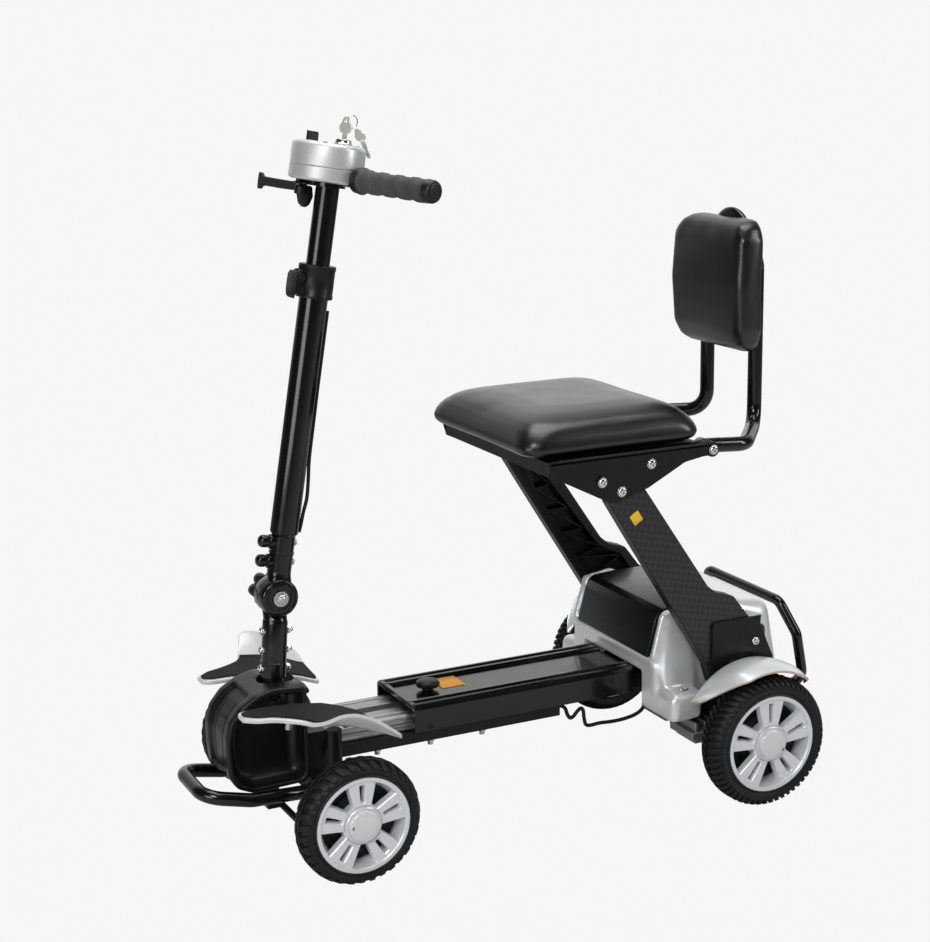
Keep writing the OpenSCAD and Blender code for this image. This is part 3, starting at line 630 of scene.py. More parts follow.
def frame_node(name, material):
    """A CAD node that is shown as it is, with a better material and soft shading."""
    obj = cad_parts[name]
    mesh = obj.data
    if "custom_normal" in mesh.attributes:
        mesh.attributes.remove(mesh.attributes["custom_normal"])
    mesh.materials.clear()
    mesh.materials.append(MATERIALS[material])
    mesh.polygons.foreach_set("use_smooth", [True] * len(mesh.polygons))
    weld = obj.modifiers.new("weld", "WELD")
    weld.merge_threshold = 1e-6
    split = obj.modifiers.new("split", "EDGE_SPLIT")
    split.split_angle = math.radians(35)


CAD_LOOKS = {  # material: the CAD nodes that it is put on
    "black_plastic": "battery_pack clamp_lever height_clamp star_knob lock_knob speed_knob throttle_lever",
    "alloy": "motor_controller slide_rail",
    "casting": "drive_unit",
    "satin_black": "rear_frame slide_channel front_beam knuckle_left knuckle_right tie_rod steer_stem "
        "seat_frame seat_arm_left seat_arm_right",
    "zinc": "half_shaft_left half_shaft_right front_bolts",
    "gloss_black": "deck_box handlebar_stem tiller_socket stem_yoke tiller_tube rear_handle bumper_loop "
        "back_frame",
    "silver": "console_base console_cover rear_housing rear_fender_left rear_fender_right",
    "chrome": "chassis_bolts seat_bolts stem_bolts",
    "panel_black": "battery_cover",
    "key_metal": "ignition_key",
    "mat_rubber": "foot_mat_left foot_mat_right",
    "white_silver": "footrest_left footrest_right",
    "soft_rubber": "tiller_conduit loop_cable",
    "grip_rubber": "grip_left grip_right",
    "shell_black": "front_shell",
    "leatherette": "seat_cushion back_pad",
    "tyre": "front_tyre_left front_tyre_right rear_tyre_left rear_tyre_right",
    "wheel_silver": "front_rim_left front_rim_right rear_rim_left rear_rim_right",
}
for material, nodes in CAD_LOOKS.items():
    for node in nodes.split():
        frame_node(node, material)


# ------------------------------------------------------------------ wheels

FRONT = {"radius": FRONT_R, "half": 23.0, "seat": 64.5, "lugs": 34, "skew": 5.0, "ribs": True}
REAR = {"radius": REAR_R, "half": 25.0, "seat": 69.5, "lugs": 56, "skew": 7.0, "ribs": False}
PETALS = 5


def rim_face(seat, half):
    """Five petals with a slot down the middle of each, joined to the ring and to the hub."""
    levels = [(half - 13, 1.4), (half - 6, 0.6), (half - 3.6, 0), (half - 2.2, -1.3)]
    petals = []
    for k in range(PETALS):
        mid = -90 + 360 / PETALS * k
        sides = fillet(arc(seat - 0.6, -19, 19, 7) + arc(27.5, 27, -27, 5), [0] * 14, 1)
        slot = fillet([(32, -2.8), (seat - 7.5, -4.2), (seat - 7.5, 4.2), (32, 2.8)], 1.8, 4)
        petals.append(moved(plate(sides, levels, [slot]), spin(mid, "Z")))
    return join(*petals)


def rim(seat, half):
    """Ring, barrel, hub and both faces."""
    ring = lathe([(seat + 4.2, half - 1.5), (seat + 3.6, half), (seat, half + 0.4), (seat - 1.4, half),
        (seat - 2.6, half - 1.4), (seat - 4.2, half - 9), (seat - 9, 3), (seat - 9, -3),
        (seat - 4.2, 9 - half), (seat - 2.6, 1.4 - half), (seat - 1.4, -half), (seat, -half - 0.3),
        (seat + 3.6, -half), (seat + 4.2, 1.5 - half), (seat + 3, 4 - half), (seat - 1, 5 - half),
        (seat - 1, half - 5), (seat + 3, half - 4)], 96, True)
    hub = lathe([(8.2, 4 - half), (27, 4 - half), (29, 6 - half), (30, half - 12), (29.4, half - 6.5),
        (28, half - 4.4), (26.6, half - 4), (26.2, half - 1.8), (25, half - 0.8), (23.2, half - 0.8),
        (23.2, half - 6), (8.2, half - 6)], 72, True)
    face = rim_face(seat, half)
    return join(ring, hub, face, moved(face, Matrix.Diagonal((1, 1, -1, 1))))


def hub_cap(half, turn):
    dome = lathe([(0, half - 5.5), (22.9, half - 5.5), (22.9, half + 2.6), (22.3, half + 4.2),
        (20.6, half + 5.4), (15, half + 6.6), (8, half + 7.2), (0, half + 7.4)], 72)
    at = spin(turn, "Z") @ shift(17.2, 0, half)
    # The second part is a black plug flush with the dome where the cap has a small hole: painted shade for
    # the hole.
    return dome, moved(lathe([(0, 2), (2.3, 2), (2.3, 6.3), (1.9, 6.5), (1.5, 6.1), (0, 6.0)], 20), at)


def lug(profile, turn, skew, pitch):
    """One tread block: (radius, height, rise, width) stations across the tread."""
    rings = []
    for j, (r, z, rise, wide) in enumerate(profile):
        a, b = profile[max(j - 1, 0)], profile[min(j + 1, len(profile) - 1)]
        along = Vector((b[0] - a[0], b[1] - a[1])).normalized()
        out = Vector((-along.y, along.x)) * (1 if -along.y * r + along.x * z > 0 else -1)
        mid = turn + skew * j / (len(profile) - 1)
        ring = []
        for lift, side in ((-0.8, -1), (-0.8, 1), (rise, 0.8), (rise, -0.8)):
            t = math.radians(mid + side * pitch * wide)
            q = r + out.x * lift
            ring.append((*polar(q, t), z + out.y * lift))
        rings.append(ring)
    return loft(rings)


def tyre(radius, half, seat, lugs, skew, ribs):
    """Smooth sidewalls with two moulded rings, a crowned tread and wrapped-round lugs."""
    wall = [(seat + 0.2, half - 5), (seat + 3.4, half - 4.4), (seat + 4.4, half - 1.6),
        (seat + 5.6, half - 0.6), (seat + 7, half - 1.2), (seat + 8, half - 2.4),
        (seat + 9.2, half - 1.4), ((seat + radius) / 2 + 2, half), (radius - 13, half - 1.2),
        (radius - 9, half - 4.6), (radius - 6, half - 9.5), (radius - 4.4, half - 15),
        (radius - 3.9, 4)]
    body = lathe(wall + [(r, -z) for r, z in reversed(wall)], 120, True)
    across = [(radius - 13.5, half - 1.0, 0.3, 0.26), (radius - 11, half - 2.6, 1.6, 0.31),
        (radius - 8.8, half - 4.7, 2.9, 0.32), (radius - 5.9, half - 9.8, 3.3, 0.31),
        (radius - 4.4, half - 15, 3.7, 0.3)]
    if not ribs:
        across += [(radius - 4, 6, 3.6, 0.26), (radius - 3.9, 1.2, 3.6, 0.2)]
    pitch = 360 / lugs
    blocks = []
    for k in range(lugs):
        short = [(r, z, rise * (1 if (k % 2 or not ribs) else 0.86), wide)
            for r, z, rise, wide in across]
        one = lug(short, pitch * k, skew, pitch)
        blocks += [one, moved(one, spin(pitch / 2, "Z") @ Matrix.Diagonal((1, 1, -1, 1)))]
    if ribs:
        for mid in (-4.2, 4.2):
            rings = []
            for k, t in enumerate(around(lugs * 2)):
                z = mid + (1.5 if k % 2 else -1.5)
                rings.append([(*polar(r, t), z + w) for r, w in ((radius - 5, -2.6),
                    (radius - 0.2, -2.1), (radius - 0.2, 2.1), (radius - 5, 2.6))])
            blocks.append(loft(rings, True))
    return join(body, *blocks)


for end, spec, x, y, z in (("front", FRONT, FRONT_X, FRONT_Y, FRONT_R),
        ("rear", REAR, 0, REAR_Y, REAR_R)):
    tread = tyre(**spec)
    wheel = rim(spec["seat"], spec["half"] - 1)
    for side, hand, _ in SIDES:
        seat_at = on_wheel(x, y, z, side)
        rides = f"{end}_wheel_{hand}"
        piece(f"{end}_tread_{hand}", tread, "tyre", rides, [f"{end}_tyre_{hand}"], seat_at, 32)
        piece(f"{end}_wheel_{hand}", wheel, "wheel_silver", rides,
            [f"{end}_rim_{hand}"], seat_at, 14)
        dome, hole = hub_cap(spec["half"] - 1, -5 if end == "front" else 150)
        piece(f"{end}_hub_cap_{hand}", dome, "white_silver", rides, (), seat_at, 40)
        # Black plug in the cap: painted shade standing in for the small hole.
        piece(f"{end}_cap_hole_shade_{hand}", hole, "satin_black", rides, (), seat_at, 40)
        # A web closing the wheel's middle, given dark rubber as painted shade so the windows between the
        # petals read deep and dark.
        piece(f"{end}_wheel_web_shade_{hand}", lathe([(29, -4), (spec["seat"] - 9.5, -4),
            (spec["seat"] - 9.5, -1), (44, -1), (42, 2), (29, 2)], 72, True), "soft_rubber", rides,
            (), seat_at)


# ------------------------------------------------------------------ soft goods


PRESSURE, FRAMES = 4.0, 20
SMOOTHING_ROUNDS = 14
SWELL_SHARE = 0.45  # part of the simulated movement that is kept, for a taut cover


def inflate(made, voxel, cap):
    """Swells a shape with a cloth simulation, smoothed; no point moves further than cap mm."""
    start = melt(made, voxel, 2)
    obj = placed("inflate", new_mesh("inflate", start, 1000))
    cloth = obj.modifiers.new("cloth", "CLOTH")
    cloth.settings.quality = 6
    cloth.settings.mass = 0.3
    cloth.settings.tension_stiffness = cloth.settings.compression_stiffness = 18
    cloth.settings.shear_stiffness = 8
    cloth.settings.bending_stiffness = 1.5
    cloth.settings.use_pressure = True
    cloth.settings.uniform_pressure_force = PRESSURE
    cloth.settings.effector_weights.gravity = 0
    cloth.point_cache.frame_start, cloth.point_cache.frame_end = 1, FRAMES
    for f in range(1, FRAMES + 1):
        bpy.context.scene.frame_set(f)
    points, faces = evaluated(obj)
    bpy.context.scene.frame_set(1)
    near = [set() for _ in points]
    for face in faces:
        for a, b in zip(face, face[1:] + face[:1]):
            near[a].add(b)
            near[b].add(a)
    moves = [Vector(q) * 1000 - Vector(p) for q, p in zip(points, start[0])]
    for _ in range(SMOOTHING_ROUNDS):
        moves = [0.3 * m + 0.7 * sum((moves[k] for k in ring), Vector()) / len(ring)
            for m, ring in zip(moves, near)]
    return [tuple(Vector(p) + m * SWELL_SHARE * min(1, cap / max(m.length, 0.01)))
        for p, m in zip(start[0], moves)], faces


def pillow(layers, corner):
    """Lofted pad blank: each layer is (height, x0, x1, half width)."""
    rings = []
    for z, x0, x1, half in layers:
        ring = fillet([(x0, -half), (x1, -half), (x1, half), (x0, half)], corner, 7)
        rings.append([(x, y, z) for x, y in ring])
    return loft(rings)


CUSHION_LOW = 551
seat_pad = inflate(pillow([(CUSHION_LOW + 1, 82, 345, 158), (CUSHION_LOW + 3, 76, 350, 163),
    (CUSHION_LOW + 12, 73, 353, 166), (CUSHION_LOW + 24, 76, 350, 163),
    (CUSHION_LOW + 36, 84, 342, 154), (CUSHION_LOW + 46, 98, 328, 140),
    (CUSHION_LOW + 53, 118, 308, 118), (CUSHION_LOW + 57, 146, 280, 88)], 36), 6, 9)
seat_pad = [(x, y, max(z, CUSHION_LOW + 0.3)) for x, y, z in seat_pad[0]], seat_pad[1]
cushion = piece("seat_cushion_cover", seat_pad, "leatherette", "seat", ["seat_cushion"],
    shift(225, 0, CUSHION_LOW) @ Matrix.Diagonal((1.07, 1.02, 0.95, 1)) @ shift(-225, 0, -CUSHION_LOW),
    smooth=180, level=1)

PAD_X = -74.5
back_blank = pillow([(-104, 1, 8, 60), (-101, 0, 22, 74), (-92, 0, 33, 84), (-70, 0, 39, 92),
    (0, 0, 41, 95), (70, 0, 39, 92), (88, 0, 33, 84), (96, 0, 22, 74), (99, 1, 8, 60)], 14)
back_shape = inflate(back_blank, 5, 8)
back_shape = [(max(x, 0.3), y, z) for x, y, z in back_shape[0]], back_shape[1]
back = piece("back_pad_cover", back_shape, "leatherette", "backrest", ["back_pad"],
    shift(PAD_X - 10, 0, 757) @ Matrix.Diagonal((1.2, 1.04, 1, 1)), smooth=180, level=1)


# ------------------------------------------------------------------ rear housing and fenders


FENDER_R, FENDER_Y, FENDER_SHEET = 113.5, 187, 2.4  # inner radius, inner edge and thickness


def fender():
    """Thin pressed sheet from a point in front to a wider end behind, with a folded edge."""
    rings = []
    steps = 40
    for k in range(steps + 1):
        t = k / steps
        turn = math.radians(32 + 110 * t)
        wide = min(1, (t / 0.34) ** 0.62) if t > 0 else 0.02
        if t > 0.8:
            wide *= 1 - 0.62 * ((t - 0.8) / 0.2) ** 1.7
        reach = max(64 * wide, 2.5)
        top, under = [], []
        for j in range(13):
            u = j / 12
            r = FENDER_R + 5.5 * math.sin(math.pi * min(u * 0.9 + 0.1, 1)) - 2.5 * u * u
            for side, q in ((top, r), (under, r - FENDER_SHEET)):
                side.append((q * math.cos(turn), FENDER_Y + reach * u, REAR_R + q * math.sin(turn)))
        edge = (FENDER_R - FENDER_SHEET) + 1.2
        lip = (edge * math.cos(turn), FENDER_Y + reach + 1.4, REAR_R + edge * math.sin(turn))
        rings.append(top + [lip] + list(reversed(under)))
    return loft(rings)


for _, hand, at in SIDES:
    sheet = piece(f"fender_sheet_{hand}", fender(), ["silver", "beige_edge"], "chassis",
        [f"rear_fender_{hand}"], at, 50)
    tint(sheet, lambda c, n: 1 if (n.x * c.x + n.z * (c.z - REAR_R) < 0.35 * math.hypot(c.x,
        c.z - REAR_R)) else 0)
    piece(f"fender_stays_{hand}", join(*[xz_plate(fillet([(x, 203), (x + 16, 203), (x + 16, 209),
        (x, 209)], 1.5), 172.6, 190) for x in (-36, 12)]), "satin_black", "chassis", (),
        at)


def housing():
    """One moulded cover: raked nose, towers beside the panel, and a foot over each axle carrier."""
    def across(*balls):
        """One hull from side to side."""
        return hull(*[(x, s * y, z, r) for s in (-1, 1) for x, y, z, r in balls])

    def each_side(*balls):
        return [hull(*[(x, s * y, z, r) for x, y, z, r in balls]) for s in (-1, 1)]

    body = across((-84, 116, 166, 15), (108, 118, 162, 14), (112, 122, 150, 8), (-90, 122, 152, 8),
        (-66, 96, 248, 28), (94, 110, 268, 15), (-30, 106, 264, 18))
    nose = across((119, 120, 132, 6), (110, 124, 168, 6), (119, 118, 200, 6), (60, 120, 132, 6))
    feet = each_side((68, 166, 132, 5), (112, 163, 132, 11), (68, 166, 158, 8), (110, 161, 156, 12),
        (68, 120, 132, 6), (115, 118, 132, 8), (70, 118, 164, 6), (110, 120, 162, 8))
    towers = each_side((66, 118, 250, 8), (101, 120, 254, 7), (64, 132, 172, 8), (108, 133, 172, 8),
        (113, 124, 190, 7))
    rims = each_side((106, 117, 276, 5), (60, 116, 282, 5), (122, 118, 214, 6), (80, 118, 230, 6))
    rims += [hull((122, -112, 207, 6), (122, 112, 207, 6), (112, -112, 190, 8), (112, 112, 190, 8))]
    skin = melt(join(body, nose, *feet, *towers, *rims), 3.0, 6)
    recess = xz_plate([(-4, 300), (-4, 279), (98, 275), (106, 266), (120, 211), (150, 211), (150, 300)],
        -108, 108)
    sides = [block((-120, y0, 110), (62, y1, 300)) for y0, y1 in ((-200, -141), (141, 200))]
    inside = xz_plate([(-84, 100), (-84, 172), (-60, 236), (-20, 258), (80, 258), (100, 196),
        (106, 100)], -112, 112)
    bays = [block((74, y0, 100), (110, y1, 158)) for y0, y1 in ((-160, -126), (126, 160))]
    bed = block((100, -86.5, 100), (140, 86.5, 184.5))
    skin = cut(skin, recess, inside, *bays, *sides, bed, block((-150, -200, 90), (72, 200, 149.5)),
        block((-150, -200, 90), (200, 200, 127)))
    return melt(skin, 2.2, 4)


piece("housing_cover", housing(), "silver", "chassis", ["rear_housing"], smooth=60)
PANEL_EDGE = [(-2, 279.5), (-2, 285), (60, 285.5), (98, 283.5), (108, 277), (113, 266), (127.5, 213),
    (125, 210), (121, 211), (106, 264), (97, 276)]
panel = standing(plate(fillet(PANEL_EDGE, [1, 2, 0, 5, 5, 5, 2, 1, 1, 3, 3], 4),
    [(-105.5, -1.2), (-104.6, -0.3), (-103.6, 0), (103.6, 0), (104.6, -0.3), (105.5, -1.2)]))
piece("battery_lid", panel, "panel_black", "chassis", ["battery_cover"], smooth=40)
for side, hand, _ in SIDES:
    spot = shift(92, side * 148, 168.2)
    # Dark dish round the foot screw: painted shade for the screw's recess in the silver cover.
    piece(f"foot_recess_shade_{hand}", moved(lathe([(0, -1), (9, -1), (10, -0.6), (9.6, 0.1), (8, -0.3),
        (0, -0.4)], 40), Matrix.Diagonal((1.25, 0.8, 1, 1))), "satin_black", "chassis",
        (), spot)
    piece(f"foot_screw_{hand}", bolt(4.6, 1.8, 1.2), "zinc", "chassis", (),
        spot @ shift(0, 0, -0.4))


def label(name, colour, at, wide, high, body, thick=0.35):
    """Plain printed-colour label with rounded corners and no lettering."""
    outline = fillet([(-wide / 2, -high / 2), (wide / 2, -high / 2), (wide / 2, high / 2),
        (-wide / 2, high / 2)], 1.4, 3)
    piece(name, plate(outline, [(-0.6, 0), (thick - 0.1, 0), (thick, -0.15)]), colour, body,
        (), at)


# ------------------------------------------------------------------ front module

SHELL = [(652, 100), (660, 94), (738, 92), (760, 102), (771, 120), (774, 150), (774, 178), (767, 202),
    (750, 222), (728, 235), (700, 242), (652, 238)]
HOLLOW = [(659, 108), (666, 101), (735, 100), (753, 109), (763, 125), (765.5, 151), (765.5, 175),
    (760, 197), (744, 214), (724, 226), (699, 232.5), (659, 229)]


def shell():
    """Moulded nose: thick rims around a deep pocket on each side and a sunk front panel."""
    outer, inner = (fillet(s, [4, 6] + [14] * 8 + [20, 4], 4) for s in (SHELL, HOLLOW))
    rim_band = standing(plate(outer, [(30, -1.5), (33, 0), (46.5, 0), (49.2, -0.9), (50, -2.2)], [inner]))
    core = standing(plate(grow(outer, -5), [(-38, 0), (38, 0)]))
    brow = standing(plate(fillet([(640, 222), (700, 228), (727, 222), (735, 233), (700, 242),
        (652, 240)], 4), [(-40, 0), (40, 0)]))
    pocket = standing(plate(inner, [(21, -16), (23, -9), (28, -4), (37, 0), (60, 1)]))
    skin = cut(melt(join(both(rim_band), core, brow), 2.4, 2), pocket, moved(pocket, MIRROR),
        xz_plate(fillet(grow(inner, -2), 4), -16, 16), moved(lathe([(0, 0), (21, 0), (21, 40), (24, 60),
        (0, 60)], 48), shift(688, 0, 200)), block((640, -22, 200), (688, 22, 260)),
        block((600, -17, 80), (668, 17, 250)))
    return melt(skin, 1.8, 4)


piece("nose_shell", shell(), "shell_black", "front_module", ["front_shell"], smooth=60)
ribs = []
for y in (-15, 15):
    path = [p for p in grow(fillet(SHELL, [4, 6] + [14] * 8 + [20, 4], 4),
        -4.9) if p[0] > 745 and p[1] < 218]
    ribs.append(tube([(x - 0.6, y, z) for x, z in path], 1.0, 8))
piece("nose_ribs", join(*ribs), "shell_black", "front_module")
loop = bent([(653.2, 61, 85), (745, 62, 89), (812, 57, 104), (812, -57, 104), (745, -62, 89),
    (653.2, -61, 85)], 30, 14)
piece("bumper_tube", join(tube(loop, 10, 32), *[moved(lathe([(0, -1), (13, -1), (14, 0), (14, 2),
    (12, 4), (10.5, 8), (0, 8)], 32), along_x(651.5, s * 61, 85)) for s in (-1, 1)]), "gloss_black",
    "front_module", ["bumper_loop"])


def tread_height(x):
    """Height of a footrest's top along its length: a quick rise, then nearly level."""
    stations = ((560, 190), (590, 199), (612, 208), (640, 217), (680, 223), (725, 226), (770, 226))
    for (x0, z0), (x1, z1) in zip(stations, stations[1:]):
        if x <= x1:
            t = max((x - x0) / (x1 - x0), 0)
            return z0 + (z1 - z0) * t
    return stations[-1][1]


INNER_EDGE = [(583, 88), (588, 72), (610, 68), (660, 67), (715, 68), (752, 70), (768, 79)]
OUTER_EDGE = [(571, 190), (577, 203), (608, 205), (640, 204), (664, 199), (679, 166), (692, 144),
    (708, 131), (728, 119), (750, 111), (769, 94)]


def rest_sheet(inset, far, lift, thick):
    """Skin between the inner and the outer edge of a footrest, on its curved top."""
    count, across = 56, 16
    low, high = (spline([(x, y, 0) for x, y in edge], 12) for edge in (INNER_EDGE, OUTER_EDGE))

    def sample(points, t):
        """Point at a share of the curve's length."""
        steps = [(b - a).length for a, b in zip(points, points[1:])]
        want = t * sum(steps)
        for a, b, d in zip(points, points[1:], steps):
            if want <= d:
                return a.lerp(b, want / d)
            want -= d
        return points[-1]

    rings = []
    for k in range(count + 1):
        t = k / count
        near, out = sample(low, 0.02 + 0.96 * t), sample(high, 0.02 + 0.96 * t)
        wide = (out - near).length
        if wide < inset * 2 + 2:
            continue
        a, b = inset / wide, 1 - inset / wide
        if out.y > far:
            b = min(b, (far - near.y) / (out.y - near.y))
        row = []
        ends = inset / 2 if inset else 0
        for j in range(across + 1):
            u = a + (b - a) * (0.5 - 0.5 * math.cos(math.pi * j / across))
            p = near.lerp(out, u)
            p.x += ends * (1 - 2 * t)
            rise = max(p.y - 150, 0) / 50
            z = tread_height(p.x) + 27 * rise ** 1.35 * max(0, 1 - ((p.x - 648) / 92) ** 2)
            drop = 1.1 if j in (0, across) else (0.35 if j in (1, across - 1) else 0)
            row.append((p.x, p.y, z + lift - drop))
        under = [(x, y, z - thick + (2.2 if j in (0, across) else 0.7 if j in (1, across - 1) else 0))
            for j, (x, y, z) in enumerate(row)]
        rings.append(row + list(reversed(under)))
    return loft(rings)


for _, hand, at in SIDES:
    piece(f"tread_plate_{hand}", rest_sheet(0, 300, 0, 6.5), "white_silver", "front_module",
        [f"footrest_{hand}"], at, 50)
    piece(f"tread_mat_{hand}", rest_sheet(5.5, 159, 2.4, 3.4), "mat_rubber", "front_module",
        [f"foot_mat_{hand}"], at, 50)


# ------------------------------------------------------------------ steering column


def joint_half(sign):
    """One half of the fold joint: a drum beside the pivot, blended into the tube above it."""
    drum = moved(lathe([(0, 0.6), (26.5, 0.6), (27.5, 1.6), (27.5, 15.5), (26.6, 18), (24.4, 19.6),
        (22.6, 19.9), (21.8, 18.4), (19.6, 18.4), (18.8, 19.6), (16.4, 19.6), (15.6, 18.2),
        (12.4, 18.2), (11.6, 20), (0, 20)], 72), spin(-90 * sign, "X"))
    rings = []
    for k in range(9):
        t = k / 8
        ease = t * t * (3 - 2 * t)
        high = 12 + 24 * t
        ring = []
        for turn in around(40):
            c, s = math.cos(turn), math.sin(turn)
            boxy = 1 / max(abs(c), abs(s)) ** (0.75 * (1 - ease))
            ring.append((17 * c * boxy, sign * 10.2 * (1 - ease) + (9.4 + 7.6 * ease) * s * boxy,
                sign * high))
        rings.append(ring)
    ticks = [moved(block((22.2, -1.6, 19.2), (25.6, 1.6, 20.6)), spin(-90 * sign,
        "X") @ spin(45 + 90 * k, "Z")) for k in range(4)]
    return join(drum, loft(rings), *ticks)


def sleeve(profile):
    return lathe(profile, 56)


piece("upper_joint", join(joint_half(1), sleeve([(0, 34), (16.2, 34), (17, 35), (17, 61), (18.2, 62),
    (18.2, 64.3), (17, 65), (17, 87), (16, 88), (0, 88)])), "gloss_black", "tiller",
    ["tiller_socket"], ON_TILLER, 35)
piece("lower_joint", join(joint_half(-1), sleeve([(0, -119.6), (17, -119.6), (18, -118.6), (18, -98.5),
    (19.2, -97.8), (19.2, -96.2), (18, -95.4), (18, -38), (17.2, -35), (0, -35)])), "gloss_black",
    "stem", ["stem_yoke"], ON_STEM, 35)
KNOB_NUT = [(0, 12), (9.6, 12), (10.2, 13), (10.2, 20), (9.4, 21.4), (7.4, 22), (7.4, 24), (9, 25),
    (9, 31), (8, 34), (5.4, 36.2), (0, 37)]
for k, h in enumerate((50, 78)):
    at = ON_TILLER @ along_x(0, 0, h)
    piece(f"dome_nut_{k}", lathe(KNOB_NUT, 40), "gloss_black", "tiller", (), at, 40)
    piece(f"socket_screw_{k}", bolt(5, 4), "zinc", "tiller", (),
        at @ spin(180, "X") @ shift(0, 0, 16.6))
for k, d in enumerate((51, 79, 107)):
    at = ON_STEM @ along_x(0, 0, -d)
    piece(f"stem_screw_{k}", join(bolt(5.6, 4.4), rod(7, -2, 0.2)), "chrome", "stem",
        ["stem_bolts"] if k == 0 else (), at @ shift(0, 0, 18.6), 40)
    piece(f"stem_nut_{k}", join(nut(5.6, 4), lathe([(0, -1.6), (6.8, -1.6), (6.8, 0.1), (0, 0.1)], 32)),
        "chrome", "stem", (), at @ spin(180, "X") @ shift(0, 0, 18.8), 40)

star = [polar(18.4 + 8 * abs(math.cos(3 * t)) ** 0.8, t) for t in around(72)]
grip_star = plate(star, [(-46, -3.5), (-45, -1.4), (-43, 0), (-32, 0), (-29.6, -1.2), (-28.6, -3.6)])
at = along_y(STEM_X, 0, FOLD_Z)
piece("star_handle", join(grip_star, lathe([(0, -47.4), (9, -47.4), (10.4, -46.4), (10.4, -45),
    (0, -45)], 40), lathe([(0, -30), (12.5, -30), (12, -21.4), (0, -21.4)], 40)), "black_plastic",
    "star_knob", ["star_knob"], at, 40)
piece("pivot_bolt", join(lathe([(0, 20.2), (10.6, 20.2), (11, 20.6), (11, 21.5), (0, 21.5)], 48),
    plate(hexagon(8), [(21.3, 0), (26, 0), (27, -0.9)]), lathe([(0, 26.6), (4.6, 26.6), (4.4, 27.6),
    (3.4, 28.2), (0, 28.2)], 32)), "zinc", "star_knob", (), at, 30)

collar = lathe([(20.2, 424), (25, 424), (26, 425), (26, 429), (25.3, 430), (25.3, 463), (26, 464),
    (26, 469), (25, 470), (17, 470), (17, 437), (20.2, 437)], 72, True)
ear = standing(plate(fillet([(20, 424), (29, 426), (35, 436), (35, 451), (29, 461), (20, 463)],
    [1, 5, 6, 6, 5, 1], 5), [(2.7, -1), (3.7, 0), (11, 0), (12, -1)]))
piece("height_collar", join(collar, both(ear)), "satin_black", "tiller",
    ["height_clamp"], ON_TILLER, 35)
flap = []
for h, wide, out in ((-29, 10, 38), (-26, 14, 39.4), (-18, 16.5, 39.6), (-4, 16.5, 39.6),
        (4, 16.5, 38.6), (8, 15.5, 37)):
    ring = fillet([(out - 3, -wide), (out, -wide), (out, wide), (out - 3, wide)], 1.4, 3)
    flap.append([(x, y, 443.5 + h) for x, y in ring])
cheeks = [standing(plate(fillet([(24.5, 438), (38, 430), (39.4, 447), (33, 451), (25, 449)], 4, 4),
    [(y0, -0.8), (y0 + 0.8, 0), (y0 + 3.2, 0), (y0 + 4, -0.8)])) for y0 in (12.6, -16.6)]
pin = moved(lathe([(0, -17.6), (4.4, -17.6), (5, -17), (5, -16.4), (3, -16.4), (3, 16.4), (5, 16.4),
    (5, 17), (4.4, 17.6), (0, 17.6)], 32), along_y(29, 0, 443.5))
piece("clamp_flap", join(loft(flap), *cheeks, pin), "satin_black", "clamp_lever",
    ["clamp_lever"], ON_TILLER @ shift(-3, 0, 7), 40)

DRUM_R = 51
drum_low = lathe([(0, 583), (DRUM_R - 5, 583), (DRUM_R - 1.6, 584.4), (DRUM_R, 587), (DRUM_R, 602.2),
    (DRUM_R - 0.8, 602.9), (0, 602.9)], 128)
drum_top = lathe([(0, 603.3), (DRUM_R - 0.8, 603.3), (DRUM_R, 604), (DRUM_R, 629), (DRUM_R - 0.9, 632),
    (DRUM_R - 3.2, 634.4), (DRUM_R - 7, 635.6), (DRUM_R - 12, 636), (0, 636)], 128)
for name, made, node in (("console_bowl", drum_low, "console_base"),
        ("console_lid", drum_top, "console_cover")):
    piece(name, made, "console_silver", "tiller_upper", [node],
        ON_TILLER @ shift(5, 0, 0), 30)
for k in range(3):
    turn = math.radians(60 + 120 * k)
    piece(f"lid_screw_{k}", bolt(3.2, 1.6, 1), "zinc", "tiller_upper", (),
        ON_TILLER @ shift(5 + 42 * math.cos(turn), 42 * math.sin(turn), 635.8))
KEY_X = -15
piece("key_switch", moved(lathe([(4.2, 634), (12.6, 634), (13, 635.4), (13, 637.5), (11.6, 638.8),
    (11.2, 642), (10.2, 643.2), (8.4, 643), (7, 640.8), (4.2, 640.6)], 48, True), shift(KEY_X, 0, 0)),
    "chrome", "tiller_upper", (), ON_TILLER, 35)
ribbed = [polar(7.6 + (0.5 if k % 3 == 0 else 0), t) for k, t in enumerate(around(60))]
piece("speed_dial", moved(join(plate(ribbed, [(636.6, 0.4), (638, 0), (647, -0.2), (648.6, -1)]),
    block((4.6, -1, 637.4), (8.6, 1, 648.9))), shift(31, 0, 0)), "black_plastic", "speed_knob",
    ["speed_knob"], ON_TILLER, 30)

lobes = []
for turn in around(60):
    r = 10.4 + 1.5 * math.cos(3 * turn + math.pi / 2) + 0.4 * math.cos(6 * turn)
    lobes.append((r * math.cos(turn), r * math.sin(turn) * 1.08))
bow_hole = arc(2.6, 0, 330, 11, (0, 6.2))
bow = plate(lobes, [(-1.1, -0.6), (-0.7, 0), (0.7, 0), (1.1, -0.6)], [bow_hole])
shank = plate([(-4, -22), (4, -22), (4, -8), (-4, -8)], [(-1, -0.3), (-0.7, 0), (0.7, 0), (1, -0.3)])
upright = shift(KEY_X, 1, 662) @ spin(115, "Z")
upright = upright @ spin(90, "X")
piece("key_bow", join(bow, shank), "key_metal", "ignition_key", ["ignition_key"],
    ON_TILLER @ upright, 30)
ring_at = Vector((KEY_X, 1, 668.5))
split_ring = [ring_at + Vector((-8.5 + 8.5 * math.cos(t), 3 * math.cos(t) + 0.12 * t,
    8.5 * math.sin(t))) for t in (math.radians(12 * k) for k in range(56))]
piece("key_ring", tube(split_ring, 0.75, 10), "chrome", "ignition_key", (), ON_TILLER, 60)
